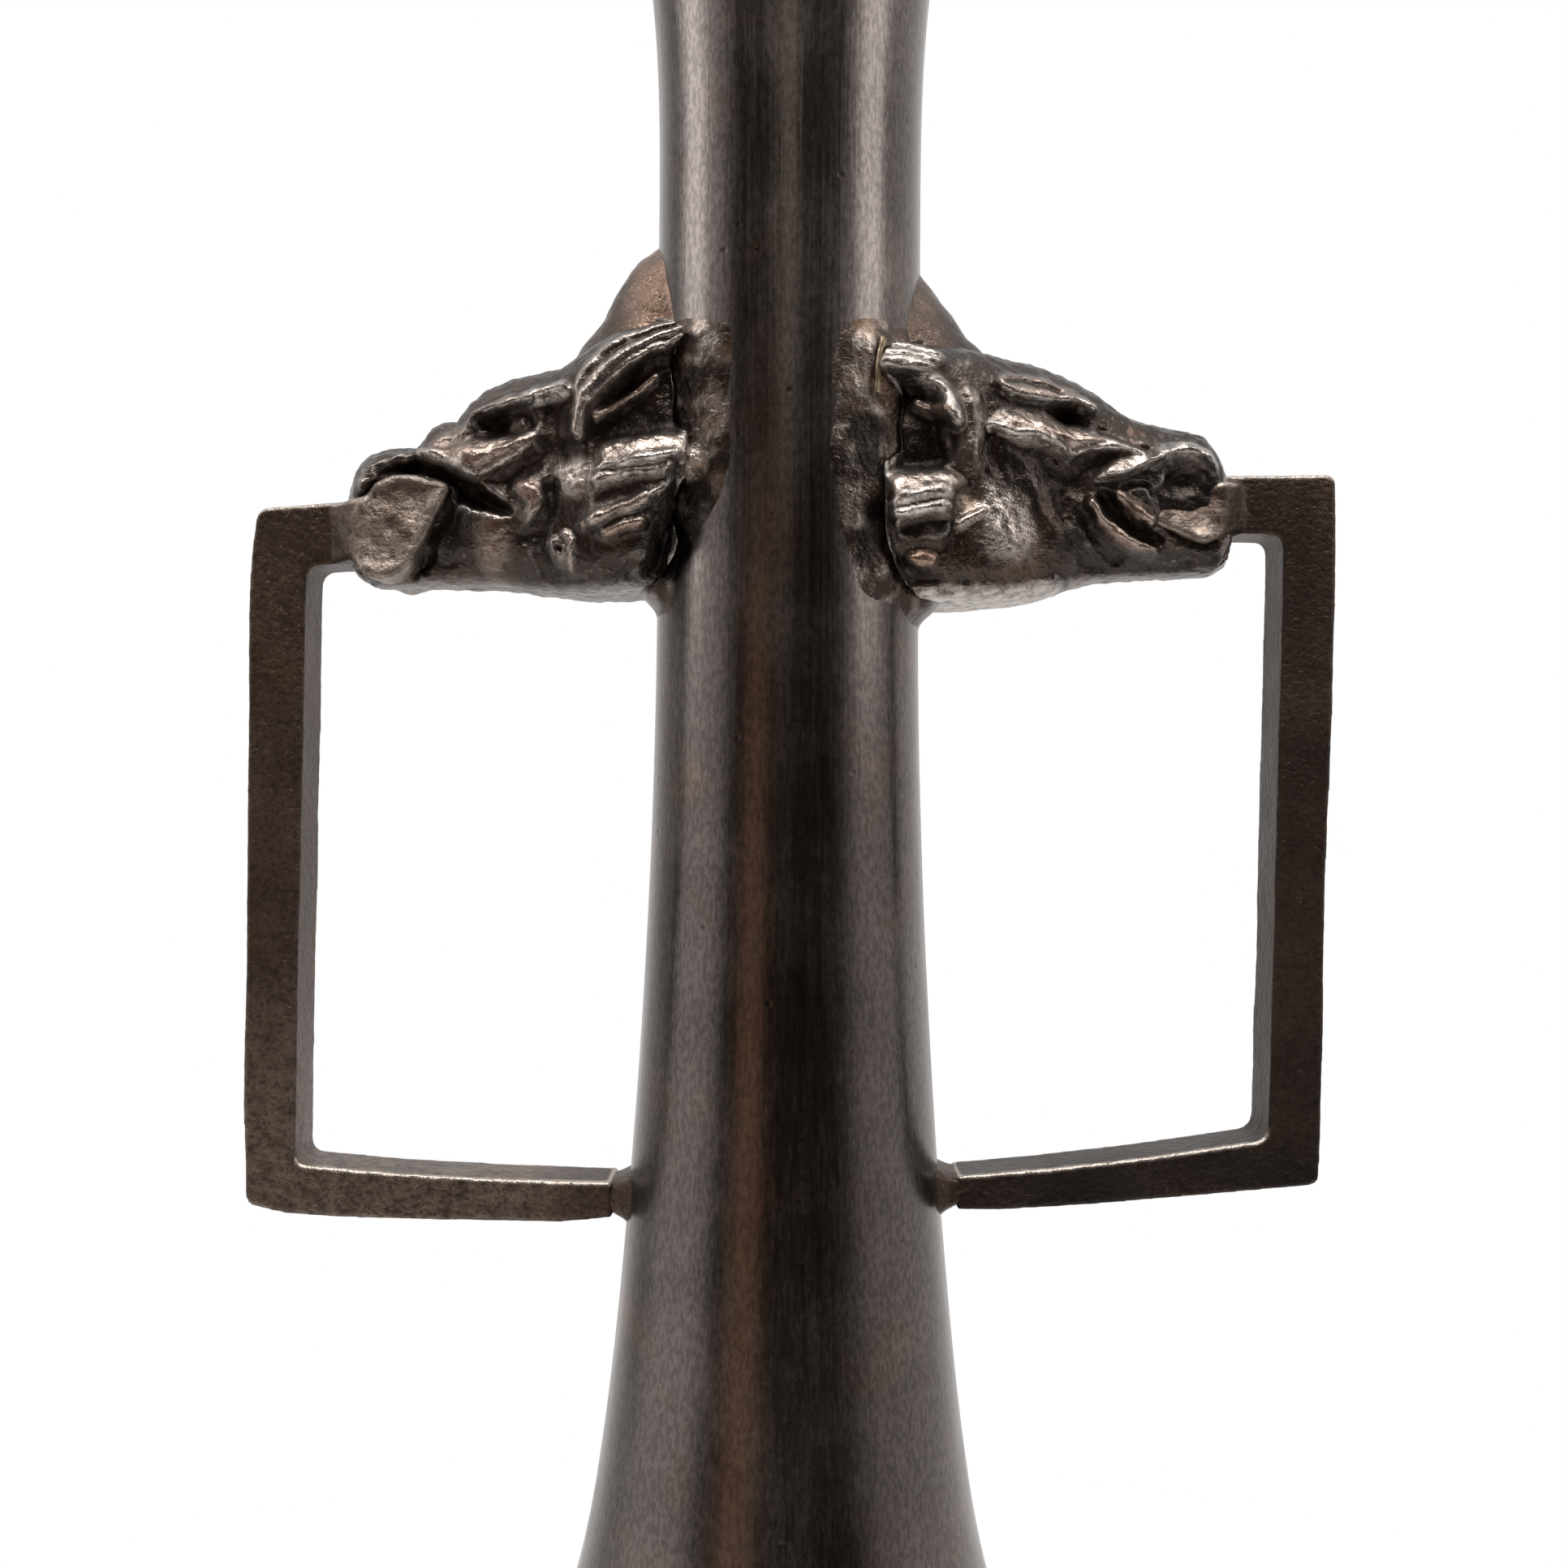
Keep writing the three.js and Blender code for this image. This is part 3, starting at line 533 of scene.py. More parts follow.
def dull_bronze():
    """Unpolished casting under a flat dark patina, pitted and grainy."""
    finish, _, clouds, pits = new_finish("dull_bronze", DULL_PATINA, Scale=1700.0, Share=0.22)
    colour = tinted(clouds["Colour"], pits["Pits"], 0.6, DULL_PIT_BROWN)
    rough = math_node("MULTIPLY_ADD", clouds["Clouds"], 0.16, 0.36)
    normal = bump_node(pits["Height"], strength=0.55, distance=0.14)
    return set_surface(finish, colour, 0.75, rough, normal)


def filler_metal():
    """Hard solder: brassy where it is rubbed, stained brown elsewhere."""
    finish, _, clouds, pits = new_finish("filler_metal", SOLDER_PATINA, Scale=1200.0, Share=0.3)
    rough = math_node("MULTIPLY_ADD", clouds["Clouds"], 0.2, 0.3)
    normal = bump_node(pits["Height"], strength=0.5, distance=0.1)
    return set_surface(finish, clouds["Colour"], 0.9, rough, normal)


DULL_BRONZE = dull_bronze()
FILLER_METAL = filler_metal()
finish_piece(foot_piece(), SMOOTH_BRONZE, "smooth_bronze", "foot_ring")
dress(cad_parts["base_plate"], DULL_BRONZE)
for solder in ("neck_joint_solder", "foot_joint_solder", "base_plate_solder"):
    dress(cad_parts[solder], FILLER_METAL)


# Handles
# Each handle is a squared bar, cast flat and bent true by hand, so the two differ a little. Its upper end
# flares into a tongue that the beast holds in its mouth, and a tenon at its foot goes into the neck.
BAR_HALF_DEPTH = 3.2
BAR_EDGE = 0.2
BAR_VOXEL = 0.25
# lumps are sizes and heights; a pair is where an effect starts and where it is full, in millimetres
BAR_LUMPS = [(11.0, 0.10), (2.4, 0.03), (0.8, 0.03)]
TONGUE_HALF_DEPTH = 6.0
TONGUE_EDGE = 0.7
TONGUE_VOXEL = 0.32
TONGUE_LUMPS = [(2.6, 0.22), (1.1, 0.10)]
TONGUE_FIT = 0.98
TONGUE_NARROWS = (41.2, 45.6)
TONGUE_SIDES = (3.6, 5.2)
TONGUE_FACE = (43.0, 40.5)
TONGUE_RIM, TONGUE_RIM_LIFT = (1.6, 0.7), 0.3
TONGUE_TILTS_BELOW = 2.0
WORN_FACE, WORN_UPPER = (43.2, 40.2), (190.0, 195.0)
LIGHT_BLEND = 1.2
# On the tongue's face a little wear, painted light on its lower part and a painted highlight along its rim.
WORN_ABOVE, PAINTED_LIGHT_BELOW, HIGHLIGHT_AT_RIM = 0.06, 0.66, 0.18
HIGHLIGHT_RIM = (1.5, 0.6)
# A painted sheen on the lower bar of the left handle.
SHEEN_HEIGHT, SHEEN_REACH = (172.0, 139.0), (19.0, 27.0)
# Edges that face up, and faintly the tongue's face, take a painted highlight.
GLINT_FACING_UP, GLINT_ON_FACE = (0.1, 0.5), 0.3
# The right handle is made darker all over, more so below the tongue and again near its foot.
DARKENING_BASE, DARKENING_BAR, DARKENING_FOOT = 0.3, 0.7, 0.4
DARKENING_BAR_HEIGHT, DARKENING_FOOT_HEIGHT = (205.0, 192.0), (152.0, 143.0)
LUMP_SHIFT = 7.3
WORN_PATINA = {"Dark": (0.029, 0.017, 0.012, 1), "Pale": (0.074, 0.049, 0.035, 1),
               "Warm": (0.092, 0.052, 0.032, 1), "Warmth": 0.5}
SPECK_BROWN = (0.150, 0.115, 0.092, 1)
# Pale grey of wear and of painted light on the tongue and the lower bar.
WORN_AND_LIT_GREY = (0.300, 0.240, 0.195, 1)
# Black of the pits and of the darkening lower down.
DARKENING_AND_PIT_BLACK = (0.012, 0.009, 0.007, 1)
HOLLOW_BLACK = (0.014, 0.010, 0.008, 1)
# Grey of the painted highlights along the edges, together with a little rubbed wear.
RUBBED_AND_GLINT_GREY = (0.36, 0.31, 0.27, 1)
# outlines: distance out, height and, at a rounded corner, its radius
LEFT_BAR = [
    (38.0, 201.8), (47.55, 201.3, 1.5), (47.75, 185.0), (48.25, 153.0), (48.35, 142.2, 1.3), (38.4, 141.4),
    (27.8, 140.85), (17.0, 140.6), (17.0, 137.2), (22.0, 136.75), (34.0, 136.8), (44.0, 137.05),
    (49.0, 137.4), (53.05, 138.3, 1.0), (53.3, 148.0), (53.15, 170.0), (53.15, 196.0), (52.95, 202.0),
    (52.4, 206.9, 1.2), (44.0, 207.5), (38.0, 207.5),
]
LEFT_TONGUE = [
    (46.0, 207.1), (41.0, 207.6, 0.6), (40.0, 209.2, 0.8), (38.1, 209.9), (35.5, 209.7), (33.4, 209.2),
    (32.6, 208.7, 0.4), (33.4, 207.2), (34.8, 204.2), (36.2, 201.2), (37.4, 200.0, 0.6), (39.4, 199.4, 0.6),
    (41.0, 200.0, 0.6), (42.2, 201.6, 0.6), (46.0, 201.5),
]
RIGHT_BAR = [
    (39.0, 204.9), (48.95, 205.0, 1.6), (47.75, 145.2, 1.5), (36.6, 143.5), (26.0, 142.2), (17.0, 141.45),
    (17.0, 138.1), (21.0, 138.1), (31.0, 138.75), (43.0, 139.85), (52.7, 140.8, 1.0), (53.0, 153.0),
    (53.1, 169.0), (53.7, 185.0), (54.0, 198.0), (53.95, 210.8, 1.0), (39.0, 210.6),
]
RIGHT_TONGUE = [
    (35.4, 208.2, 0.5), (36.4, 209.0, 0.5), (39.1, 209.3), (46.0, 210.1), (46.0, 205.4), (43.0, 204.3, 0.8),
    (40.5, 203.5, 0.6), (37.8, 204.5), (35.5, 205.5, 0.4),
]
HANDLES = {
    "left": {"side": -1, "bar": LEFT_BAR, "tongue": LEFT_TONGUE, "slant": 0.10, "worn_below": 208.6,
             "sheen_low": 0.38, "darkened": 0.0},
    "right": {"side": 1, "bar": RIGHT_BAR, "tongue": RIGHT_TONGUE, "slant": 0.30, "worn_below": 206.3,
              "sheen_low": 0.0, "darkened": 0.45},
}


def rounded_outline(points, steps=6):
    rows = []
    for index, (*corner, radius) in enumerate((*point, 0.0)[:3] for point in points):
        corner = Vector(corner)
        if radius == 0.0:
            rows.append(corner)
            continue
        before = Vector(points[index - 1][:2]) - corner
        after = Vector(points[(index + 1) % len(points)][:2]) - corner
        start = corner + before.normalized() * radius
        end = corner + after.normalized() * radius
        for t in between(0, 1, steps):
            rows.append(start * (1 - t) ** 2 + corner * 2 * t * (1 - t) + end * t ** 2)
    return rows


def pick(piece, *others):
    """Selects only these pieces, with the first one active."""
    bpy.ops.object.select_all(action="DESELECT")
    for each in (piece, *others):
        each.select_set(True)
    bpy.context.view_layer.objects.active = piece


def apply_modifier(piece, kind, **settings):
    pick(piece)
    modifier = piece.modifiers.new(kind.lower(), kind)
    for key, value in settings.items():
        setattr(modifier, key, value)
    bpy.ops.object.modifier_apply(modifier=modifier.name)


def slab(name, outline, side, half_depth, edge):
    """An outline in the plane of the handles, drawn through to its depth and eased along its edges."""
    rows = [(side * point.x * MM, -half_depth * MM, point.y * MM) for point in rounded_outline(outline)]
    piece = outline_loop(name, rows)
    with mesh_edit():
        bpy.ops.mesh.edge_face_add()
        bpy.ops.mesh.extrude_region_move(TRANSFORM_OT_translate={"value": (0, 2 * half_depth * MM, 0)})
    apply_modifier(piece, "BEVEL", width=edge * MM, segments=2, limit_method="ANGLE",
                   angle_limit=math.radians(50))
    return piece


def get_normals(piece):
    return read_vectors(piece.data.vertex_normals, "vector")


def cloud(points, size, offset=0.0):
    """Smooth noise at each point, between about -1 and 1, with lumps of about the size in millimetres."""
    scaled = points / (size * MM) + offset
    return np.array([noise.noise(Vector(row)) for row in scaled])


def roughen(piece, lumps):
    """Raises and sinks the skin by lumps of each size and height."""
    points = get_points(piece)
    lift = sum(height * cloud(points, size, LUMP_SHIFT * index)
               for index, (size, height) in enumerate(lumps))
    set_points(piece, points + get_normals(piece) * (lift * MM)[:, None])


def neighbour_mean(edges, count, values):
    total = np.zeros_like(values)
    for column in range(values.shape[1]):
        total[:, column] = np.bincount(edges[:, 0], values[edges[:, 1], column], count)
        total[:, column] += np.bincount(edges[:, 1], values[edges[:, 0], column], count)
    shared = np.bincount(edges.ravel(), minlength=count)
    return total / np.maximum(shared, 1)[:, None]


def ease(values, low, high):
    """A smooth step from 0 at low to 1 at high, which may be the smaller one."""
    share = np.clip((values - low) / (high - low), 0, 1)
    return share * share * (3 - 2 * share)


def store_values(piece, **layers):
    for name, values in layers.items():
        layer = piece.data.attributes.new(name, "FLOAT", "POINT")
        layer.data.foreach_set("value", values)


def store_relief(piece, rounds, depth):
    """Keeps, at each point, how far it stands above its surroundings, as 0 in a hollow and 1 on a ridge."""
    edges = np.empty(len(piece.data.edges) * 2, dtype=np.int64)
    piece.data.edges.foreach_get("vertices", edges)
    edges = edges.reshape(-1, 2)
    points = get_points(piece)
    calm = points.copy()
    for _ in range(rounds):
        calm = neighbour_mean(edges, len(points), calm)
    height = np.einsum("ij,ij->i", points - calm, get_normals(piece)) / (depth * MM)
    store_values(piece, relief=np.clip(0.5 + 0.5 * height, 0, 1))


def distance_to_line(line, out, up):
    least = np.full_like(out, np.inf)
    for (from_out, from_up, *_), (to_out, to_up, *_) in zip(line, line[1:]):
        run, rise = to_out - from_out, to_up - from_up
        span = max(run * run + rise * rise, 1e-9)
        share = np.clip(((out - from_out) * run + (up - from_up) * rise) / span, 0, 1)
        least = np.minimum(least, np.hypot(out - from_out - share * run, up - from_up - share * rise))
    return least


def tongue_piece(name, side, tongue, slant, worn_below):
    piece = slab(name, tongue, side, TONGUE_HALF_DEPTH, TONGUE_EDGE)
    apply_modifier(piece, "REMESH", mode="VOXEL", voxel_size=TONGUE_VOXEL * MM)
    points = get_points(piece) / MM
    reach = np.abs(points[:, 0])
    points[:, 1] *= 1 - (1 - TONGUE_FIT * BAR_HALF_DEPTH / TONGUE_HALF_DEPTH) * ease(reach, *TONGUE_NARROWS)
    rim = distance_to_line(tongue[2:-2], reach, points[:, 2])
    tilt = slant * (points[:, 2] - worn_below + TONGUE_TILTS_BELOW)
    lift = TONGUE_RIM_LIFT * ease(rim, *TONGUE_RIM) - tilt
    lift *= ease(np.abs(points[:, 1]), *TONGUE_SIDES) * ease(reach, *TONGUE_FACE)
    points[:, 1] += np.sign(points[:, 1]) * lift
    set_points(piece, points * MM)
    roughen(piece, TONGUE_LUMPS)
    return piece


def store_wear_and_light(piece, tongue, worn_below, sheen_low, darkened):
    """Keeps where the handle is painted pale, as wear and as painted light on its tongue and a painted
    sheen on its lower bar, which edges face up to take a painted highlight, and where it is darker lower
    down.
    """
    points = get_points(piece)
    out = np.abs(points[:, 0]) / MM
    height = points[:, 2] / MM + 0.8 * cloud(points, 2.5)
    face = ease(out - 0.5 * cloud(points, 1.4, 5.0), *WORN_FACE) * ease(height, *WORN_UPPER)
    # Painted light on the lower part of the tongue.
    lower = ease(height, worn_below + LIGHT_BLEND, worn_below - LIGHT_BLEND)
    rim = ease(distance_to_line(tongue, out, points[:, 2] / MM), *HIGHLIGHT_RIM)
    worn = face * (WORN_ABOVE + PAINTED_LIGHT_BELOW * lower + HIGHLIGHT_AT_RIM * rim)
    # Painted sheen on the lower bar.
    worn += sheen_low * ease(height, *SHEEN_HEIGHT) * ease(out, *SHEEN_REACH)
    # Edges that face up take a painted highlight.
    edge = ease(get_normals(piece)[:, 2], *GLINT_FACING_UP) * (1 - face) + GLINT_ON_FACE * face
    # Darker towards the bottom of the bar and again at its foot.
    below = DARKENING_BASE + DARKENING_BAR * ease(height, *DARKENING_BAR_HEIGHT)
    below = below + DARKENING_FOOT * ease(height, *DARKENING_FOOT_HEIGHT)
    patches = np.clip(1 + 0.6 * cloud(points, 7.0, 3.0), 0, 1.4)
    store_values(piece, worn=worn, edge=edge, grime=darkened * below * (1 - face) * patches)


def handle_piece(name, side, bar, tongue, slant, worn_below, sheen_low, darkened):
    piece = slab(name, bar, side, BAR_HALF_DEPTH, BAR_EDGE)
    pick(piece, tongue_piece(name + "_tongue", side, tongue, slant, worn_below))
    bpy.ops.object.join()
    apply_modifier(piece, "REMESH", mode="VOXEL", voxel_size=BAR_VOXEL * MM)
    apply_modifier(piece, "SMOOTH", factor=0.5, iterations=1)
    roughen(piece, BAR_LUMPS)
    bpy.ops.object.shade_smooth()
    store_relief(piece, rounds=14, depth=0.16)
    store_wear_and_light(piece, tongue, worn_below, sheen_low, darkened)
    return piece


def casting_grain():
    """Fine grain of a chased casting: small lumps crossed by tool marks, and the bright specks on them."""
    group, given, made = node_group(
        "casting_grain", {"Vector": "Vector"}, {"Height": "Float", "Specks": "Float"})
    lumps = noise_node(given["Vector"], scale=2100.0, detail=3.0, roughness=0.6)
    marks = stretched(given["Vector"], along=2.0)
    marks = noise_node(marks, scale=1000.0, detail=2.0, roughness=0.6, distortion=0.4)
    height = math_node("MULTIPLY_ADD", marks, 0.4, lumps)
    feed(made["Height"], height)
    feed(made["Specks"], smooth_range(height, low=0.80, high=1.00))
    return group


CASTING_GRAIN = casting_grain()


def stored(finish, *names):
    """The values that the mesh keeps under these names."""
    tree = finish.node_tree
    return [new_node(tree, "ShaderNodeAttribute", attribute_name=name).outputs["Fac"] for name in names]


def worn_bronze():
    """Flat dark patina, pitted and grainy, with painted highlights along the raised edges that face up, and
    the painted light, sheen and darkening that the mesh keeps.
    """
    finish, place, clouds, pits = new_finish("worn_bronze", WORN_PATINA, Scale=1700.0, Share=0.22)
    relief, worn, edge, grime = stored(finish, "relief", "worn", "edge", "grime")
    grain = placed_group(CASTING_GRAIN, Vector=place)
    # Painted highlight, together with a little rubbed wear, on raised edges that face up.
    rubbed = times(smooth_range(relief, low=0.74, high=0.96), edge)
    patchy = noise_node(place, scale=620.0, detail=4.0, roughness=0.65)
    patchy = smooth_range(patchy, low=0.34, high=0.62, to_low=0.25, to_high=1.0)
    hollow = smooth_range(grain["Height"], low=0.70, high=0.56, to_low=0.0, to_high=0.5)
    colour = tinted(clouds["Colour"], grain["Specks"], 0.45, SPECK_BROWN)
    # Wear together with painted light on the tongue, and a painted sheen on the lower bar.
    colour = tinted(colour, worn, patchy, WORN_AND_LIT_GREY)
    # Darker lower down on the right handle.
    colour = mix_colour(grime, colour, DARKENING_AND_PIT_BLACK)
    colour = mix_colour(hollow, colour, HOLLOW_BLACK)
    # The painted highlights on the edges.
    colour = tinted(colour, rubbed, 0.85, RUBBED_AND_GLINT_GREY)
    colour = tinted(colour, pits["Pits"], 0.8, DARKENING_AND_PIT_BLACK)
    rough = math_node("MULTIPLY_ADD", clouds["Clouds"], 0.16, 0.36)
    rough = math_node("SUBTRACT", rough, times(rubbed, 0.12))
    normal = bump_node(pits["Height"], strength=0.5, distance=0.12)
    normal = bump_node(grain["Height"], strength=0.7, distance=0.18, Normal=normal)
    return set_surface(finish, colour, 0.8, rough, normal)


WORN_AND_LIT_BRONZE = worn_bronze()
for hand, form in HANDLES.items():
    finish_piece(handle_piece(f"{hand}_bar", **form), WORN_AND_LIT_BRONZE, "dull_bronze", f"{hand}_handle")


# Solder at the feet of the handles
# A fillet of filler metal runs round the foot of each bar where its tenon enters the neck. It was filed
# into a hollow curve and patinated with the rest.
BAR_FOOT_HALF = (3.1, 1.45)
FILLET_SPREAD = (1.0, 1.1)
FILLET_REACH = 2.4
FILLET_SINK = 0.2
FILLET_SQUARENESS = 0.4
FILLET_HOLLOW = 2.2
FILLET_LUMPS = [(1.3, 0.10), (0.5, 0.05)]
MESH_WELD = 0.004 * MM
FILLETS = {"left": {"side": -1, "foot": 139.0}, "right": {"side": 1, "foot": 139.85}}


def sheet(name, columns, rows, place):
    """A grid whose points are placed by two running shares, each from 0 to 1."""
    bpy.ops.mesh.primitive_grid_add(x_subdivisions=columns, y_subdivisions=rows, size=2)
    piece = bpy.context.object
    piece.name = name
    shares = get_points(piece) / 2 + 0.5
    set_points(piece, np.stack(place(shares[:, 0], shares[:, 1]), axis=1) * MM)
    return piece


def tidy_mesh(piece, fill=False):
    pick(piece)
    with mesh_edit():
        bpy.ops.mesh.remove_doubles(threshold=MESH_WELD)
        if fill:
            bpy.ops.mesh.fill_holes(sides=0)
    points = get_points(piece)
    points -= points.mean(axis=0)
    if (points * get_normals(piece)).sum() < 0:
        piece.data.flip_normals()
    bpy.ops.object.shade_smooth()


@np.vectorize
def neck_reach(z):
    return neck_radius(z * MM) / MM


def squared(wave):
    return np.sign(wave) * np.abs(wave) ** FILLET_SQUARENESS


def fillet_piece(name, side, foot):
    def place(around, along):
        angle = around * math.tau
        flare = along ** FILLET_HOLLOW
        y = squared(np.cos(angle)) * (BAR_FOOT_HALF[0] + FILLET_SPREAD[0] * flare)
        height = foot + squared(np.sin(angle)) * (BAR_FOOT_HALF[1] + FILLET_SPREAD[1] * flare)
        skin = np.sqrt(neck_reach(height) ** 2 - y ** 2) - FILLET_SINK
        out = skin + (neck_reach(height) + FILLET_REACH - skin) * (1 - along)
        return side * out, y, height
    piece = sheet(name, 64, 12, place)
    tidy_mesh(piece, fill=True)
    roughen(piece, FILLET_LUMPS)
    store_relief(piece, rounds=8, depth=0.12)
    return piece


for hand, form in FILLETS.items():
    fillet = fillet_piece(f"{hand}_fillet", **form)
    finish_piece(fillet, WORN_AND_LIT_BRONZE, "filler_metal", f"{hand}_handle_solder")


# Saddles
# Each head sits on a thin curved seat that was run on with filler metal and filed down. Its border on the
# neck is uneven and pitted, rubbed paler than the neck, with painted shade towards that border, and painted
# highlights and painted shade among its mottled marks.
SEAT_RADIUS = 14.9
SADDLE_THICKNESS = 0.9
SADDLE_SINK = 0.06
SADDLE_BACKING = 0.5
SADDLE_HALF_ANGLE = math.radians(80)
# heights and angles where an effect starts and where it is full
SADDLE_NARROWS = (209.0, 199.0)
SADDLE_SPAN_TOP = 229.0
SADDLE_STARTS_BELOW = 3.6
SADDLE_TOP = (220.8, 224.4)
SADDLE_FOOT = (-2.0, 4.0)
SADDLE_FILLET_RISE, SADDLE_FILLET_FALL = (-3.4, 0.0), (1.0, 4.5)
SADDLE_FILLET_SPREAD = (0.28, 0.62)
# size, height and shift of the lumps left by the file
SADDLE_LUMPS = [(2.4, 0.15, 9.0), (0.9, 0.15, 5.0), (0.45, 0.08, 2.0)]
RUBBED_PATINA = {"Dark": (0.022, 0.016, 0.013, 1), "Pale": (0.064, 0.051, 0.043, 1),
                 "Warm": (0.112, 0.064, 0.042, 1), "Warmth": 0.55}
BLUSH_BROWN = (0.150, 0.086, 0.056, 1)
# Brown and black of painted shade in hollows and of the stored darkening.
HOLLOW_SHADE_BROWN = (0.032, 0.020, 0.016, 1)
DARKENING_BLACK = (0.009, 0.007, 0.006, 1)
# Pale grey and red of rubbed wear together with painted highlights.
BARE_AND_HIGHLIGHT_GREY = (0.600, 0.540, 0.490, 1)
BARE_AND_HIGHLIGHT_RED = (0.520, 0.360, 0.265, 1)
SPECK_GREY = (0.300, 0.250, 0.215, 1)
# marks: distance out, height and reach in millimetres, then a tone, pale above 0 and dark below, and a
# lift;
# the tones paint mottled patina together with painted highlights and painted shade
SADDLES = {
    "left": {"side": -1, "seed": 2.0, "share": 0.87, "narrowing": 0.5, "fade": 0.64, "foot": 199.0,
             "fillet_reach": 1.4, "marks": [
        (7.4, 220.6, 2.0, 0.32, 0.0), (7.2, 214.7, 2.6, 0.5, 0.0), (8.4, 223.0, 1.4, 0.9, 0.3),
        (9.2, 210.3, 2.2, 1.0, 0.7), (8.3, 207.7, 2.2, -0.9, -0.2), (9.9, 204.2, 3.0, -1.0, -0.2),
        (10.6, 200.9, 2.6, -1.0, 0.0), (9.4, 217.4, 2.0, -0.8, 0.0), (9.5, 214.2, 2.0, -0.8, 0.0),
    ]},
    "right": {"side": 1, "seed": 41.0, "share": 0.98, "narrowing": 0.12, "fade": 0.50, "foot": 198.0,
              "fillet_reach": 1.8, "marks": [
        (7.1, 221.5, 1.5, 0.9, 0.1), (6.0, 217.8, 2.0, 0.55, 0.1), (7.0, 213.2, 2.8, -1.0, -0.3),
        (7.4, 210.2, 2.4, -1.0, -0.3), (5.6, 207.1, 2.0, 0.4, 0.2), (6.0, 204.6, 1.5, 0.55, 0.2),
        (7.2, 202.5, 2.4, -0.8, -0.2), (5.6, 199.5, 2.0, 0.6, 0.0), (8.3, 205.4, 1.6, -0.9, -0.2),
    ]},
}


def saddle_limit(z, share, narrowing):
    return SADDLE_HALF_ANGLE * share * (1 - narrowing * ease(z, *SADDLE_NARROWS))


def backed(piece, side, thickness):
    """Gives a sheet its thickness, towards the axis."""
    apply_modifier(piece, "SOLIDIFY", thickness=thickness * MM, offset=-1 if side > 0 else 1)
    tidy_mesh(piece)


def store_stains_and_light(piece, side, seed, share, narrowing, marks):
    points = get_points(piece)
    out, z = side * points[:, 0] / MM, points[:, 2] / MM
    border = np.abs(np.arctan2(points[:, 1], side * points[:, 0])) / saddle_limit(z, share, narrowing)
    # Mottled patina, and painted shade towards the border on the neck.
    grime = 0.5 * ease(cloud(points, 2.2, seed + 5.0), 0.0, 0.40) + 0.4 * ease(border, 0.78, 0.99)
    pale = 0.3 * ease(cloud(points, 1.7, seed + 9.0), 0.0, 0.45)
    wander = 1 + 0.5 * cloud(points, 1.2, seed + 3.0)
    # The marks paint mottled patina together with painted highlights and painted shade.
    for mark_out, mark_z, reach, tone, _ in marks:
        cover = 1 - ease(np.hypot(out - mark_out, z - mark_z) * wander, 0.3 * reach, reach)
        pale += (max(tone, 0) - pale) * cover
        grime += (max(-tone, 0) - grime) * cover
    blush = 0.12 + 0.4 * ease(cloud(points, 3.0, seed), -0.1, 0.5)
    store_values(piece, blush=blush, grime=np.minimum(grime, 1), pale=pale)


def saddle_piece(name, side, seed, share, narrowing, fade, foot, fillet_reach, marks):
    def place(across, along):
        angle = (across * 2 - 1) * SADDLE_HALF_ANGLE
        z = foot - SADDLE_STARTS_BELOW + along * (SADDLE_SPAN_TOP - foot)
        flat = np.stack([angle * SEAT_RADIUS, z, np.full_like(z, seed)], axis=1) * MM
        ragged = cloud(flat, 4.0) + 0.5 * cloud(flat, 1.4, 3.0)
        inside = 1 - ease(np.abs(angle) / saddle_limit(z, share, narrowing) + 0.04 * ragged, fade, 1.0)
        inside *= ease(z + 0.4 * ragged, foot + SADDLE_FOOT[0], foot + SADDLE_FOOT[1])
        inside *= 1 - ease(z + 0.5 * ragged, *SADDLE_TOP)
        rough = sum(height * cloud(flat, size, shift) for size, height, shift in SADDLE_LUMPS)
        out = neck_reach(z) * np.cos(angle)
        for mark_out, mark_z, reach, _, lift in marks:
            rough += lift * (1 - ease(np.hypot(out - mark_out, z - mark_z), 0.1 * reach, reach))
        fillet = ease(z - foot, *SADDLE_FILLET_RISE) ** 2 * (1 - ease(z - foot, *SADDLE_FILLET_FALL))
        fillet *= fillet_reach * (1 - ease(np.abs(angle), *SADDLE_FILLET_SPREAD))
        radius = neck_reach(z) - SADDLE_SINK + inside * (SADDLE_THICKNESS + rough) + fillet
        return side * radius * np.cos(angle), radius * np.sin(angle), z
    piece = sheet(name, 240, 150, place)
    backed(piece, side, SADDLE_BACKING)
    store_relief(piece, rounds=10, depth=0.16)
    store_stains_and_light(piece, side, seed, share, narrowing, marks)
    return piece


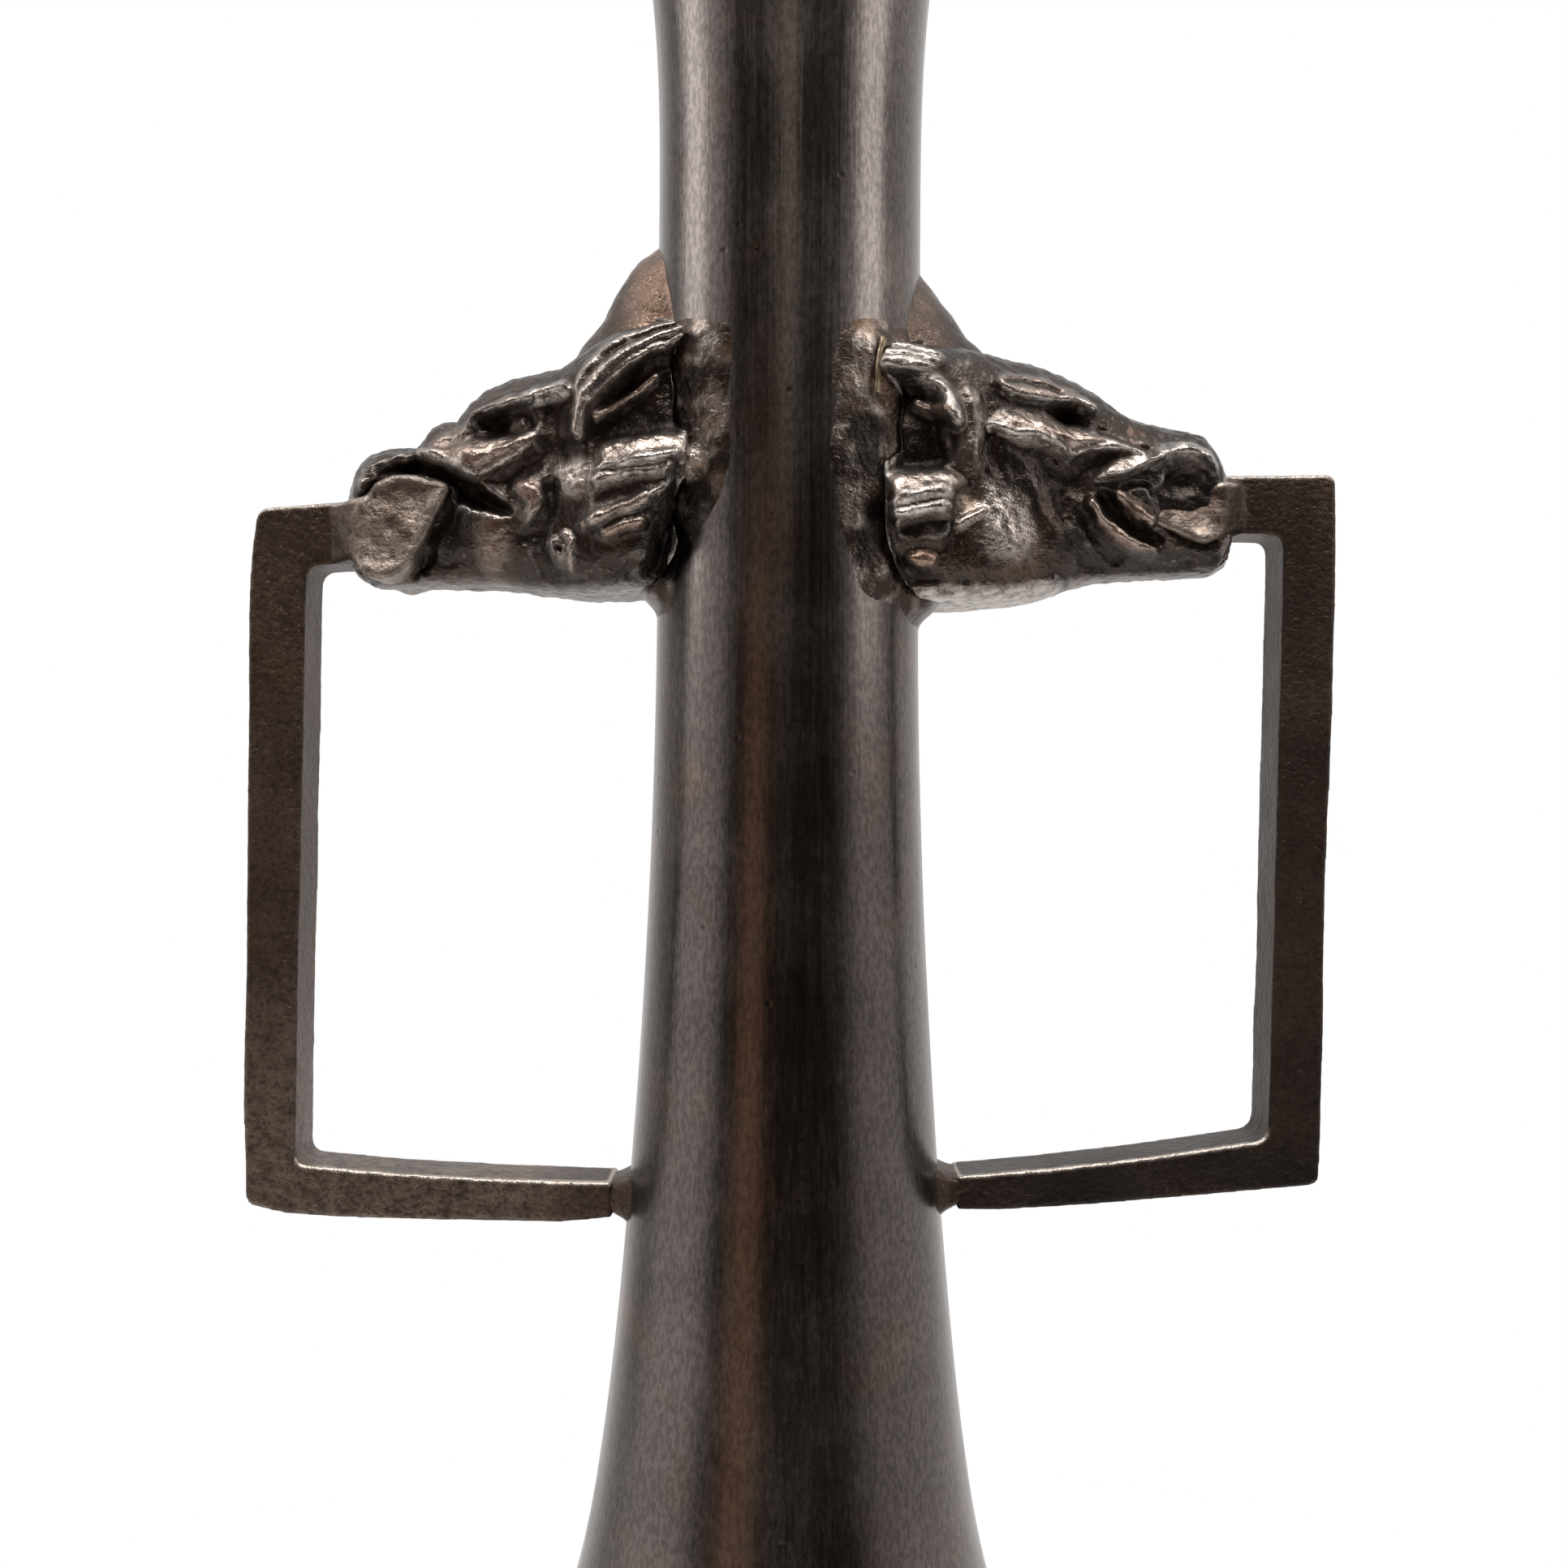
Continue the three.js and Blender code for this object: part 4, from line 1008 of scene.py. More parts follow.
def rubbed_bronze():
    """Chased casting: pale grey-brown where hands have rubbed it, together with painted highlights on
    ridges and raised parts; red-brown in the cuts, with painted shade, brown and black, in hollows and
    under features.
    """
    finish, place, clouds, pits = new_finish("rubbed_bronze", RUBBED_PATINA, Scale=1100.0, Share=0.30)
    relief, blush, grime, pale = stored(finish, "relief", "blush", "grime", "pale")
    grain = placed_group(CASTING_GRAIN, Vector=place)
    # Painted shade in the hollows.
    sunk = smooth_range(relief, low=0.42, high=0.10)
    # Painted highlight on ridges, together with rubbed wear.
    ridge = times(smooth_range(relief, low=0.60, high=1.0), 0.4)
    ridge = times(ridge, math_node("SUBTRACT", 1.0, grime))
    patchy = noise_node(place, scale=780.0, detail=4.0, roughness=0.7)
    patchy = smooth_range(patchy, low=0.36, high=0.62, to_low=0.35, to_high=1.15)
    rubbed = math_node("MAXIMUM", ridge, times(pale, patchy), clamp=True)
    reddened = math_node("ADD", clouds["Clouds"], 0.45)
    reddened = times(blush, reddened, clamp=True)
    colour = mix_colour(reddened, clouds["Colour"], BLUSH_BROWN)
    # Painted shade in the hollows, then the stored darkening.
    colour = tinted(colour, sunk, 0.88, HOLLOW_SHADE_BROWN)
    colour = tinted(colour, grime, 0.92, DARKENING_BLACK)
    # Rubbed wear together with painted highlights.
    colour = tinted(colour, rubbed, 0.85, mix_colour(blush, BARE_AND_HIGHLIGHT_GREY, BARE_AND_HIGHLIGHT_RED))
    colour = tinted(colour, grain["Specks"], 0.35, SPECK_GREY)
    rough = math_node("MULTIPLY_ADD", clouds["Clouds"], 0.16, 0.235)
    rough = math_node("SUBTRACT", rough, times(ridge, 0.12))
    rough = math_node("ADD", rough, times(sunk, 0.14))
    normal = bump_node(pits["Height"], strength=0.4, distance=0.12)
    normal = bump_node(grain["Height"], strength=0.6, distance=0.22, Normal=normal)
    return set_surface(finish, colour, 0.88, rough, normal)


RUBBED_AND_LIT_BRONZE = rubbed_bronze()
for hand, form in SADDLES.items():
    finish_piece(saddle_piece(f"{hand}_seat", **form), RUBBED_AND_LIT_BRONZE, "rubbed_bronze", f"{hand}_saddle")


# Beast heads
# Each head is a solid casting, chased by hand: a horned brow over a deep eye, a ribbed ear, a ledge and a
# ridged tuft behind the cheek, and a crest that runs up against the neck. The two faces differ.
MOUTH_Z = 206.0
HEAD_AROUND = 380
HEAD_ALONG = 210
HEAD_LAP = 0.6
HEAD_LUMPS = [(3.2, 0.14), (1.2, 0.13), (0.6, 0.06), (0.3, 0.02)]
SQUARENESS, SQUARENESS_LOST, ROUNDED_BY = 4.3, 1.6, (1.0, 9.0)
FLANK_GAIN = 1.6
LINE_WANDER = [(1.6, 0.16), (0.7, 0.08)]
RELIEF_PLAY, RELIEF_PLAY_SIZE = 0.3, 2.2
RELIEF_LIMIT, RELIEF_PRESSED = 1.5, 0.55
# How deep a sunk field or groove must be for full painted shade.
FIELD_SHADE_DEPTH = 2.2
STROKE_SHADE_DEPTH = 1.5
STROKE_ROUND = 1.5
CREST_HALF_ANGLE = math.radians(36)
CREST_SINK = 0.12
CREST_BACKING = 0.4
CREST_LUMPS = [(2.5, 0.12), (0.9, 0.06)]
CREST_NEAR_NECK = (17.5, 13.5)
# A section is a distance out from the seat, its lowest and highest points and its half width. A field is
# a height, an edge's width, a lean, a redness, a tone and an outline. A stroke is a height, a width,
# a redness, a tone and a line. A tone above 0 paints rubbed wear together with a painted highlight, and a
# tone below 0 paints shade, as do sunk fields and grooves. A crest is heights and distances from the axis.
LEFT_SECTIONS = [
    (-5.8, -6.6, 19.2, 10.6), (-2, -6.9, 18.9, 10.4), (2, -7.3, 17.9, 9.7), (4.4, -7.5, 16.8, 9.2),
    (6.2, -7.5, 15.8, 8.6), (7.4, -7.4, 15.1, 8.2), (9.4, -7.2, 14.6, 7.9), (12.1, -6.8, 14.2, 7.3),
    (14.9, -6.6, 13.0, 6.9), (16.2, -6.6, 12.0, 6.7), (17.0, -6.6, 11.0, 6.4), (17.8, -6.6, 9.8, 6.2),
    (19.2, -6.6, 9.7, 6.3), (20.4, -6.6, 9.2, 6.2), (21.0, -6.6, 8.2, 6.0), (21.8, -6.6, 7.2, 5.8),
    (23.5, -6.6, 7.2, 5.9), (25.2, -6.6, 7.0, 5.8), (26.4, -6.6, 6.6, 5.5), (27.4, -6.1, 5.8, 5.0),
    (28.2, -5.2, 4.3, 4.2), (28.7, -4.4, 2.6, 3.4),
]
LEFT_FIELDS = [
    # nose roll
    (1, 1.2, -0.1, 0.05, -0.15, [(27.3, 2.2), (27.3, 3.7), (26.7, 4.9), (25.4, 5.8), (23.6, 6.3), (20.9,
        6.5), (20.6, 5.7), (22.3, 5.6), (23.9, 4.8), (24.9, 3.7), (25.3, 2.1), (26.4, 1.8)]),
    # mouth
    (-1.7, 0.9, 0, 0.5, 0, [(25, 3.7), (23.9, 4.7), (22.1, 5.4), (20.2, 5.2), (18.2, 4.4), (16.6, 3.6),
        (14.9, 2.7), (13.1, 1.4), (11.7, 0.2), (11.9, -0.4), (13.9, 0.1), (16, 0.8), (17.4, 1.3), (17.4,
        2.4), (18.4, 3), (20.4, 3.5), (23.1, 3.9)]),
    # seat of the tongue
    (-1, 0.7, 0, 0, 0, [(27.2, 1.9), (25, 3.5), (23.1, 4), (18.2, 3.1), (17.1, 2.4), (17.9, 0.4), (19.4,
        -2.4), (20.8, -5.3), (22, -6.7), (24.8, -6.9), (26.7, -4.9)]),
    # behind the tongue, with painted shade
    (-0.25, 1.2, 0, 0, -0.75, [(17.4, 1.8), (15.5, 0.7), (15.7, -1.4), (17.1, -4), (18.7, -5.3), (21.4,
        -5.8), (19.3, -2.3)]),
    # lower lip
    (0.35, 1.1, 0, 0.35, 0.2, [(14.9, -0.1), (12.8, 0.1), (11.2, -0.8), (11.5, -2.5), (12.8, -6.1), (14.9,
        -6), (15.5, -2.7)]),
    # bridge
    (0.8, 1.2, -0.3, 0.45, 0.5, [(20.1, 6.7), (19, 7.9), (17.6, 8.5), (16, 8.8), (15.7, 7.8), (16.6, 6.9),
        (18.4, 6.7)]),
    # brow
    (1.4, 0.8, -0.3, 0.15, -0.3, [(16.1, 9.1), (15, 10.6), (12.8, 11.8), (10.1, 12.5), (7, 12.8), (6.2,
        12.2), (6.4, 11.4), (8.5, 11.1), (10.1, 10.6), (11.7, 10), (13.9, 9.8), (15.7, 8.8)]),
    # socket
    (-1, 0.95, 0, 0.1, 0, [(15.7, 8.2), (14.9, 9.1), (13.3, 9.6), (10.1, 9.7), (9.2, 9), (9.4, 7.8),
        (10.7, 7.3), (12.8, 7.1), (14.7, 6.9), (15.5, 7.5)]),
    # cheek
    (1.6, 1.4, -0.14, 0.45, 0.5, [(19.8, 6.8), (17.9, 6.7), (14.9, 6.7), (12.5, 6.9), (10.1, 7.3), (9.1,
        7.3), (9.5, 6.3), (11.5, 5.2), (13.6, 4.2), (14.9, 3.3), (16, 3.6), (17.4, 4.5), (19.3, 5.4),
        (20.6, 5.8)]),
    # temple
    (-1.1, 1.7, 0, 0.15, 0, [(9, 10.4), (6.2, 11.2), (5.8, 9.7), (6, 8.2), (5.8, 6.1), (5.4, 4.8), (6.7,
        4.1), (8, 5.4), (8.9, 7.3)]),
    # under the cheek
    (-1, 1.6, 0, 0.15, 0, [(14.5, 3), (13.3, 3.7), (11.1, 4.7), (9.4, 6.2), (8.5, 7), (7.2, 6.2), (6.8,
        4.6), (7.7, 3.8), (9.1, 3.6), (10.6, 3.4), (11.7, 2.2), (12.7, 1.7)]),
    # ear
    (2.3, 0.9, -0.32, 0.15, 0.3, [(5.8, 9.9), (5.7, 11.7), (4.9, 13.6), (3, 15.5), (1.1, 16.8), (-1.3,
        17.8), (-5.6, 18.6), (-5.6, 16.6), (-4.1, 15.5), (-1.8, 14.1), (0.5, 12.8), (2.3, 11.3), (3.7,
        9.3), (4.2, 7.5), (4.5, 6), (5.8, 6.1), (6, 8.7)]),
    # hollow of the ear
    (-1.5, 1.1, 0, 0.1, 0, [(4, 7.3), (3.3, 9.3), (1.7, 11.3), (-0, 12.7), (-2.3, 14.1), (-5.4, 16),
        (-7.8, 14.9), (-7.8, 8.4), (-5.1, 7.1), (-3.3, 7), (0.7, 6.6), (2.8, 6.2), (4.1, 6.2)]),
    # ledge
    (1.4, 0.9, -0.55, 0.3, 0.62, [(3.3, 5), (2.8, 6.3), (-0.5, 6.7), (-4.1, 7.2), (-5.6, 6.1), (-5.4,
        4.3), (-4.1, 4.3), (-1.3, 3.9), (2.7, 3.6)]),
    # tuft
    (1.4, 0.9, 0.05, 0.1, 0.35, [(3.7, 2.7), (3.2, 4.2), (1, 4.6), (-4.1, 5.3), (-4.4, 3.9), (-4.1, 1.8),
        (-2.9, 0.5), (-1.8, -0.7), (-1.5, -1.7), (0.7, -2.7), (2.5, -2.9), (4.4, -2), (4, 0.7)]),
    # face of the tuft
    (-0.6, 0.7, 0, 0.05, 0, [(3.6, 1.9), (0.7, 2.4), (-4.1, 3.2), (-3.8, 1.8), (-1.5, 1), (1.2, 0.1), (4,
        -0.5)]),
    # cheek muscle
    (0.8, 1.3, -0.1, 0.4, 0.3, [(11.5, 3.2), (9.3, 3.1), (8.2, 1.5), (8.2, -0.1), (9.5, -1.3), (11.1,
        -0.6), (11.5, 1.3)]),
    # lock
    (0.5, 1.4, -0.15, 0.1, 0.85, [(7.8, 4.2), (5.1, 4.8), (3.3, 4.2), (3.7, 2), (5.1, 0.8), (6.7, 1.6)]),
    # nape, with painted shade
    (-1.6, 1.5, 0, 0, -1, [(-4, 0.8), (-5.1, 2.6), (-7.8, 2.3), (-7.3, -0.4), (-5.3, -2.4), (-3.4, -6.2),
        (-0.8, -6.2), (-1.8, -2.9)]),
]
LEFT_STROKES = [
    # ridges of the ear
    (0.45, 0.44, 0.1, 0.65,
     [(5.3, 11.2), (4.3, 13.1), (2.4, 14.9), (0.2, 16.3), (-2.6, 17.4), (-5.4, 18.1)]),
    (-0.38, 0.34, 0, 0, [(4.9, 10.8), (3.8, 12.6), (1.9, 14.4), (-0.3, 15.7), (-3, 16.8), (-5.4, 17.7)]),
    (0.45, 0.44, 0.1, 0.7,
     [(4.5, 10.4), (3.3, 12.1), (1.4, 13.9), (-0.8, 15.2), (-3.3, 16.3), (-5.4, 17.3)]),
    (-0.38, 0.34, 0, 0, [(4.1, 10), (2.8, 11.7), (0.9, 13.4), (-1.2, 14.7), (-3.5, 15.8), (-5.4, 16.9)]),
    (0.4, 0.4, 0.15, 0.55, [(3.7, 9.6), (2.4, 11.3), (0.5, 13), (-1.5, 14.2), (-3.7, 15.3), (-5.4, 16.5)]),
    # rib in the ear
    (1.3, 0.7, 0.6, 0.8, [(3.1, 8.7), (1.2, 9.9), (-0.5, 10.9), (-2.2, 12.4)]),
    # brow
    (-0.5, 0.42, 0, 0, [(14.9, 10.2), (12.8, 11.4), (10.3, 11.8)]),
    (0.6, 0.65, 0, 0.45, [(15.9, 8.8), (13.9, 9.8), (11.7, 10.1), (10.1, 10.7)]),
    (0.7, 1.1, 0, 1, [(10, 10.9), (8.5, 11.3), (6.6, 11.6)]),
    # eye
    (0.7, 1.1, 0.1, 0.15, [(11.5, 8.6), (10.9, 8.6)]),
    (0.5, 0.4, 0, 0.3, [(15.3, 8.5), (15, 7.8), (14.5, 7.9)]),
    # lip
    (0.7, 0.7, 0, 0.8, [(20.8, 5.9), (19.3, 5.5), (17.4, 4.6), (15.3, 3.4)]),
    (0.4, 0.5, 0.2, 0.6, [(14.9, 3.3), (13.6, 4.1), (11.5, 5.1), (9.5, 6.3)]),
    # edge of the tongue's seat
    (-0.6, 0.8, 0, 0, [(17, 1.9), (17.8, 0.4), (19.3, -2.4), (20.7, -5.2)]),
    # ridges of the tuft
    (0.8, 0.62, 0, 0.9, [(3.3, 3.5), (-0, 4), (-4.2, 4.7)]),
    (-0.4, 0.28, 0, 0, [(3.4, 3.1), (0.2, 3.4), (-4.1, 4.2)]),
    (0.65, 0.56, 0.1, 0.8, [(3.6, 2.6), (0.5, 3), (-4, 3.7)]),
    (1, 0.6, 0.45, 0.55, [(4.7, -1.7), (1.7, -0.6), (-1.6, 0.8)]),
    (-0.35, 0.5, 0, 0, [(3.7, -2.2), (1.2, -1.4), (-2.1, -0.3)]),
    (0.9, 0.6, 0.7, 0.45, [(2.3, -2.6), (0.7, -2.1), (-1.1, -1.5)]),
    # folds behind the mouth
    (0.4, 0.7, 0.4, 0.35, [(11.2, 2.7), (9.3, 2.1), (8.5, 0.4)]),
    (-0.6, 1.1, 0, 0, [(7.7, 2.2), (7.9, 0.3), (8.5, -1.3), (10.3, -2.3)]),
    (-0.4, 0.7, 0, 0, [(11.5, 1.3), (10.3, 0.4)]),
    # jowl
    (0.9, 1.4, 0.15, 0.3, [(7.6, -3.4), (6.9, -4.1)]),
    (0.6, 0.5, 0.3, 0.5, [(6.4, -2.2), (5.6, -3.3), (5.9, -5.3)]),
    (-0.8, 0.4, 0, 0, [(7.1, -3.5), (6.9, -3.8)]),
    (-0.5, 1.1, 0, 0, [(8.7, -2.4), (8.9, -3.9), (8.2, -5.7)]),
    # jaw
    (0.5, 1.1, 0.1, 0.15, [(25, -6.8), (18.7, -6.6), (12.8, -6.6), (10.4, -7.4)]),
    (0.9, 1.4, 0, 0.3, [(9.1, -7.6), (5.9, -7.9), (-1.8, -7.5)]),
    (-0.4, 1.1, 0, 0, [(20.6, -4.4), (18.4, -4.4), (16.6, -4.3)]),
]
RIGHT_SECTIONS = [
    (-7.0, -8.2, 17.2, 11.2), (-2, -8.2, 16.9, 10.4), (2, -8.1, 16.5, 9.7), (5.7, -8.0, 16.2, 8.8),
    (7.1, -7.9, 16.0, 8.4), (8.8, -7.7, 15.8, 8.0), (10.4, -7.4, 15.3, 7.7), (12.0, -6.9, 14.7, 7.3),
    (13.7, -6.2, 14.0, 7.0), (16.1, -5.6, 12.4, 6.6), (18.1, -5.4, 11.0, 6.3), (19.8, -5.3, 10.2, 6.2),
    (21.4, -5.3, 9.8, 6.0), (24.1, -5.1, 9.5, 5.8), (26.1, -5.0, 8.9, 5.6), (27.2, -4.9, 7.6, 5.2),
    (28.0, -4.6, 6.0, 4.7), (28.8, -4.0, 4.0, 3.9),
]
RIGHT_FIELDS = [
    # ear
    (2.1, 0.8, -0.5, 0.05, 0.8, [(-6.9, 13.5), (-6.3, 15.6), (-4.9, 16.3), (-0.9, 15.5), (0.1, 14.1),
        (-0.9, 12.7), (-3, 12.3), (-6.9, 12.7)]),
    # lobe
    (1.9, 0.9, -0.4, 0.05, 1, [(-3.1, 12.4), (-0.9, 12.8), (0.6, 11.6), (1.2, 10.1), (1.7, 7.6), (0.6,
        7.5), (-0.5, 8.8), (-1, 10.6)]),
    # hollow of the ear
    (-1.5, 0.95, 0, 0.1, 0, [(-7.8, 12.6), (-3.1, 12.1), (-1.2, 10.4), (-0.5, 8.7), (-0.1, 6.3), (0.8,
        3.8), (-7.8, 3.5)]),
    # ledge
    (1.4, 0.8, -0.55, 0.3, 0.7, [(-5.9, 3.2), (-2.5, 3.7), (1.3, 3.6), (1.8, 1.9), (0.3, 1.2), (-2.5, 1),
        (-5.6, 0.2)]),
    # tuft
    (1.4, 0.65, 0, 0.05, 0.1, [(-5.6, 1), (-2.5, 1.8), (0.6, 2.2), (0.5, -0.2), (0.8, -3.3), (-4.9, -3.7),
        (-5.3, -1.6)]),
    # ridges of the tuft
    (0.6, 0.5, -0.3, 0.05, 0.75, [(-5.5, 1), (-2.5, 1.8), (0.5, 2.2), (0.4, -0.1), (-2.5, -0.8), (-5.2,
        -1.5)]),
    # face of the tuft
    (-0.6, 0.4, 0, 0.1, -0.45, [(-5.3, -1.8), (-2.4, -1.1), (0.6, -0.5), (1, -3.3), (-5, -3.7)]),
    # curl
    (0.8, 0.5, -0.2, 0.95, -0.15, [(-4, -4.6), (-3.2, -5.5), (-1.2, -5.4), (-0.7, -4.5), (-1.6, -3.8),
        (-3.2, -4)]),
    # under the curl, with painted shade
    (-0.8, 1.2, 0, 0, -0.6, [(-5.3, -3.7), (-3.9, -3.9), (-3.8, -5.6), (-0.6, -5.8), (-0.5, -6.7), (-3.1,
        -7), (-5.2, -6.2)]),
    # behind the tuft
    (-0.3, 1, -0.2, 0.95, 0.75, [(0.9, 1.7), (2.9, 1.9), (3.8, 0.7), (2.6, -0.4), (1.1, -0.5)]),
    # brow
    (1.3, 0.65, -0.28, 0.3, 0.25, [(4.4, 11.8), (4.6, 13.1), (5.9, 13.7), (9, 13.6), (12.2, 12.6), (14.3,
        11.4), (15.1, 10.1), (13.9, 9.9), (12.9, 10.8), (10.9, 10.7), (9, 10.9), (6.4, 10.9)]),
    # socket
    (-1.2, 0.9, 0, 0.2, -0.2, [(9.6, 10.3), (10.9, 10.3), (12.4, 10.5), (14.1, 8.9), (12.2, 8.4), (10.6,
        9)]),
    # cheek
    (1.4, 1.5, -0.24, 0.45, 0.75, [(4.1, 8.5), (5.8, 9.9), (9, 9.7), (11.6, 8.4), (15.5, 7.9), (18.2,
        7.3), (20.3, 7.2), (18.8, 6.4), (15.2, 6.3), (12.2, 5.5), (10.9, 6.4), (8.3, 6.6), (5.4, 7.1)]),
    # under the cheek, with painted shade
    (-1.3, 2, 0, 0.15, -0.75, [(8, 6), (10.3, 5.9), (11.6, 4.9), (15.2, 5.6), (15.5, 5.1), (14.2, 3.7),
        (13.9, 2.1), (12.9, 0.8), (12.3, -1.4), (10.6, -0.2), (9, 2.9)]),
    # corner of the mouth
    (1.1, 0.6, -0.35, 0.3, 0.8, [(14.4, 3.7), (15.4, 4.8), (16.8, 5.7), (18.8, 6.2), (20.3, 6), (20, 5.2),
        (18.2, 4.1), (15.2, 3.3)]),
    # nose
    (1.3, 1, -0.28, 0, 0.45, [(19.4, 5.5), (20.8, 6.8), (23.2, 7.4), (25.5, 7.1), (26.6, 5.5), (26.8,
        3.9), (25.2, 5.4), (23.5, 6), (21.5, 5.2), (20.3, 4.6)]),
    # nostril
    (-1, 0.9, 0, 0.05, 0, [(21.8, 4.6), (24.2, 5.3), (25.3, 4.1), (24.8, 2.7), (22.8, 2.4), (21, 2.7)]),
    # seat of the tongue
    (-0.5, 1, 0, 0, 0, [(20, 2.4), (21.5, 3.2), (24.8, 3.5), (27.4, 3.7), (27.7, -2.4), (25.7, -2.9),
        (22.5, -2), (20.2, -1.1)]),
    # jowl
    (0.5, 2.4, -0.1, 0.1, 0.95, [(2.9, 2.7), (5.8, 2.8), (7.7, 0.7), (8.5, -1.5), (9.3, -2.9), (8, -4.2),
        (5.9, -4.2), (3.8, -3.5), (2.2, -1.7)]),
    # jaw
    (-0.2, 1.2, 0, 0.1, -0.4, [(14.2, -3.6), (20.8, -3.9), (25.9, -3.7), (25.9, -4.9), (19.2, -5.2),
        (13.9, -5.3)]),
]
RIGHT_STROKES = [
    # ridges of the ear
    (0.42, 0.32, 0.05, 0.7, [(-5.7, 15.5), (-3, 15.2), (-0.5, 14.5)]),
    (-0.34, 0.26, 0, 0, [(-5.8, 15.1), (-3.1, 14.8), (-0.7, 14.1)]),
    (0.42, 0.32, 0.05, 0.7, [(-5.9, 14.6), (-3.3, 14.4), (-0.9, 13.8)]),
    (-0.34, 0.26, 0, 0, [(-6.1, 14.2), (-3.5, 14), (-1.2, 13.4)]),
    (0.42, 0.32, 0.05, 0.7, [(-6.2, 13.8), (-3.8, 13.6), (-1.5, 13.1)]),
    # rib in the ear
    (1.3, 0.75, 0.5, 0.75, [(-2.9, 10), (-0.2, 9)]),
    # neck of the ear
    (0.9, 1.5, 0.1, 0.2, [(2.2, 10.8), (2.6, 7.7), (2.2, 4.4)]),
    (-0.5, 0.7, 0, 0, [(4.1, 7.7), (4.6, 5), (5.1, 4)]),
    # ridges of the tuft
    (0.7, 0.55, 0, 1, [(-5.2, 0.1), (-2.5, 0.8), (0.4, 1.3)]),
    (-0.35, 0.24, 0, 0, [(-5.1, -0.4), (-2.5, 0.3), (0.2, 0.7)]),
    (0.7, 0.55, 0, 1, [(-5, -0.9), (-2.5, -0.3), (0.1, 0.2)]),
    (0.6, 0.6, 0.2, 0.6, [(1.2, -1.5), (2.6, -0.6), (3.6, -0.1)]),
    # brow
    (-0.45, 0.5, 0, 0, [(5.7, 12.4), (8.3, 12.6), (11.1, 11.8)]),
    (0.55, 0.5, 0, 0.6, [(6.4, 11), (9, 10.9), (10.9, 10.6), (12.4, 11), (13.9, 10.7), (14.4, 9.9)]),
    # eye
    (0.7, 0.8, 0, 0.5, [(13.4, 10.4), (14.4, 10.3)]),
    # cheek
    (0.5, 0.6, 0, 0.85, [(4.2, 8.1), (6.4, 7.4), (9, 7.2), (10.9, 6.6), (12.1, 5.5)]),
    (0.55, 0.45, 0, 0.9, [(12.1, 5.5), (14.9, 6.4), (17.2, 6.6), (19.3, 6.1)]),
    (-0.3, 0.6, 0.2, 0, [(15.2, 8.2), (17.5, 7.1), (19.5, 6.7)]),
    # corner of the mouth
    (0.5, 0.4, 0, 0.9, [(14.6, 3.5), (17.5, 4), (20.9, 5.7)]),
    # nose
    (0.5, 0.8, 0, 0.6, [(20.8, 6.4), (23.2, 7), (25.5, 6.5), (26.4, 5.1)]),
    # folds of the mouth
    (1, 0.85, 0.5, 0, [(14.1, 1.2), (15.9, -1), (18.2, -2.5), (20.6, -3.2)]),
    (-0.8, 0.85, 0, 0, [(15.5, 2.1), (16.8, -0.2), (19.2, -1.6), (20.9, -2.1)]),
    (0.7, 0.9, 0.5, 0, [(17, 2), (19.2, 0.4), (20.2, -0.2)]),
    (-0.5, 0.45, 0, 0, [(17.5, 2.8), (19.5, 3.3), (20.3, 2.4)]),
    (-0.6, 1, 0, 0, [(13.4, 0.3), (14.7, -2.1), (17.5, -3.6)]),
    # jaw
    (-0.5, 1.3, 0, 0, [(14.2, -4), (19.2, -4.4), (24.2, -4)]),
    (0.7, 1, 0, 0.3, [(13.2, -6.1), (19.5, -5.7), (26.6, -5.5)]),
    (0.8, 1.6, 0, 0.8, [(-2.5, -8.2), (2.9, -8), (9, -7.6), (11.1, -6.8)]),
]
LEFT_CREST = [
    (216.0, 23.0), (222.0, 21.8), (224.1, 20.5), (226.2, 18.7), (227.7, 18.0), (229.5, 17.2),
    (231.1, 16.2), (232.3, 15.2), (232.9, 14.2), (233.4, 13.0),
]
RIGHT_CREST = [
    (216.0, 22.0), (222.0, 20.4), (223.3, 19.3), (224.6, 18.0), (227.0, 16.4), (229.4, 14.5),
    (230.6, 13.3), (231.2, 12.9),
]
HEADS = {
    "left": {"side": -1, "sections": LEFT_SECTIONS, "fields": LEFT_FIELDS, "strokes": LEFT_STROKES,
             "crest": LEFT_CREST, "redness": 0.8},
    "right": {"side": 1, "sections": RIGHT_SECTIONS, "fields": RIGHT_FIELDS, "strokes": RIGHT_STROKES,
              "crest": RIGHT_CREST, "redness": 0.25},
}


def inside_outline(outline, out, up):
    inside = np.zeros(len(out), dtype=bool)
    for (from_out, from_up), (to_out, to_up) in zip(outline, outline[1:] + outline[:1]):
        if from_up == to_up:
            continue
        crossing = from_out + (up - from_up) * (to_out - from_out) / (to_up - from_up)
        inside ^= ((from_up > up) != (to_up > up)) & (out < crossing)
    return inside


def softened(line, closed):
    """The line with its corners cut twice."""
    for _ in range(2):
        following = line[1:] + line[:1] if closed else line[1:]
        cut = []
        for (out, up), (next_out, next_up) in zip(line, following):
            cut.append((0.75 * out + 0.25 * next_out, 0.75 * up + 0.25 * next_up))
            cut.append((0.25 * out + 0.75 * next_out, 0.25 * up + 0.75 * next_up))
        line = cut if closed else line[:1] + cut + line[-1:]
    return line


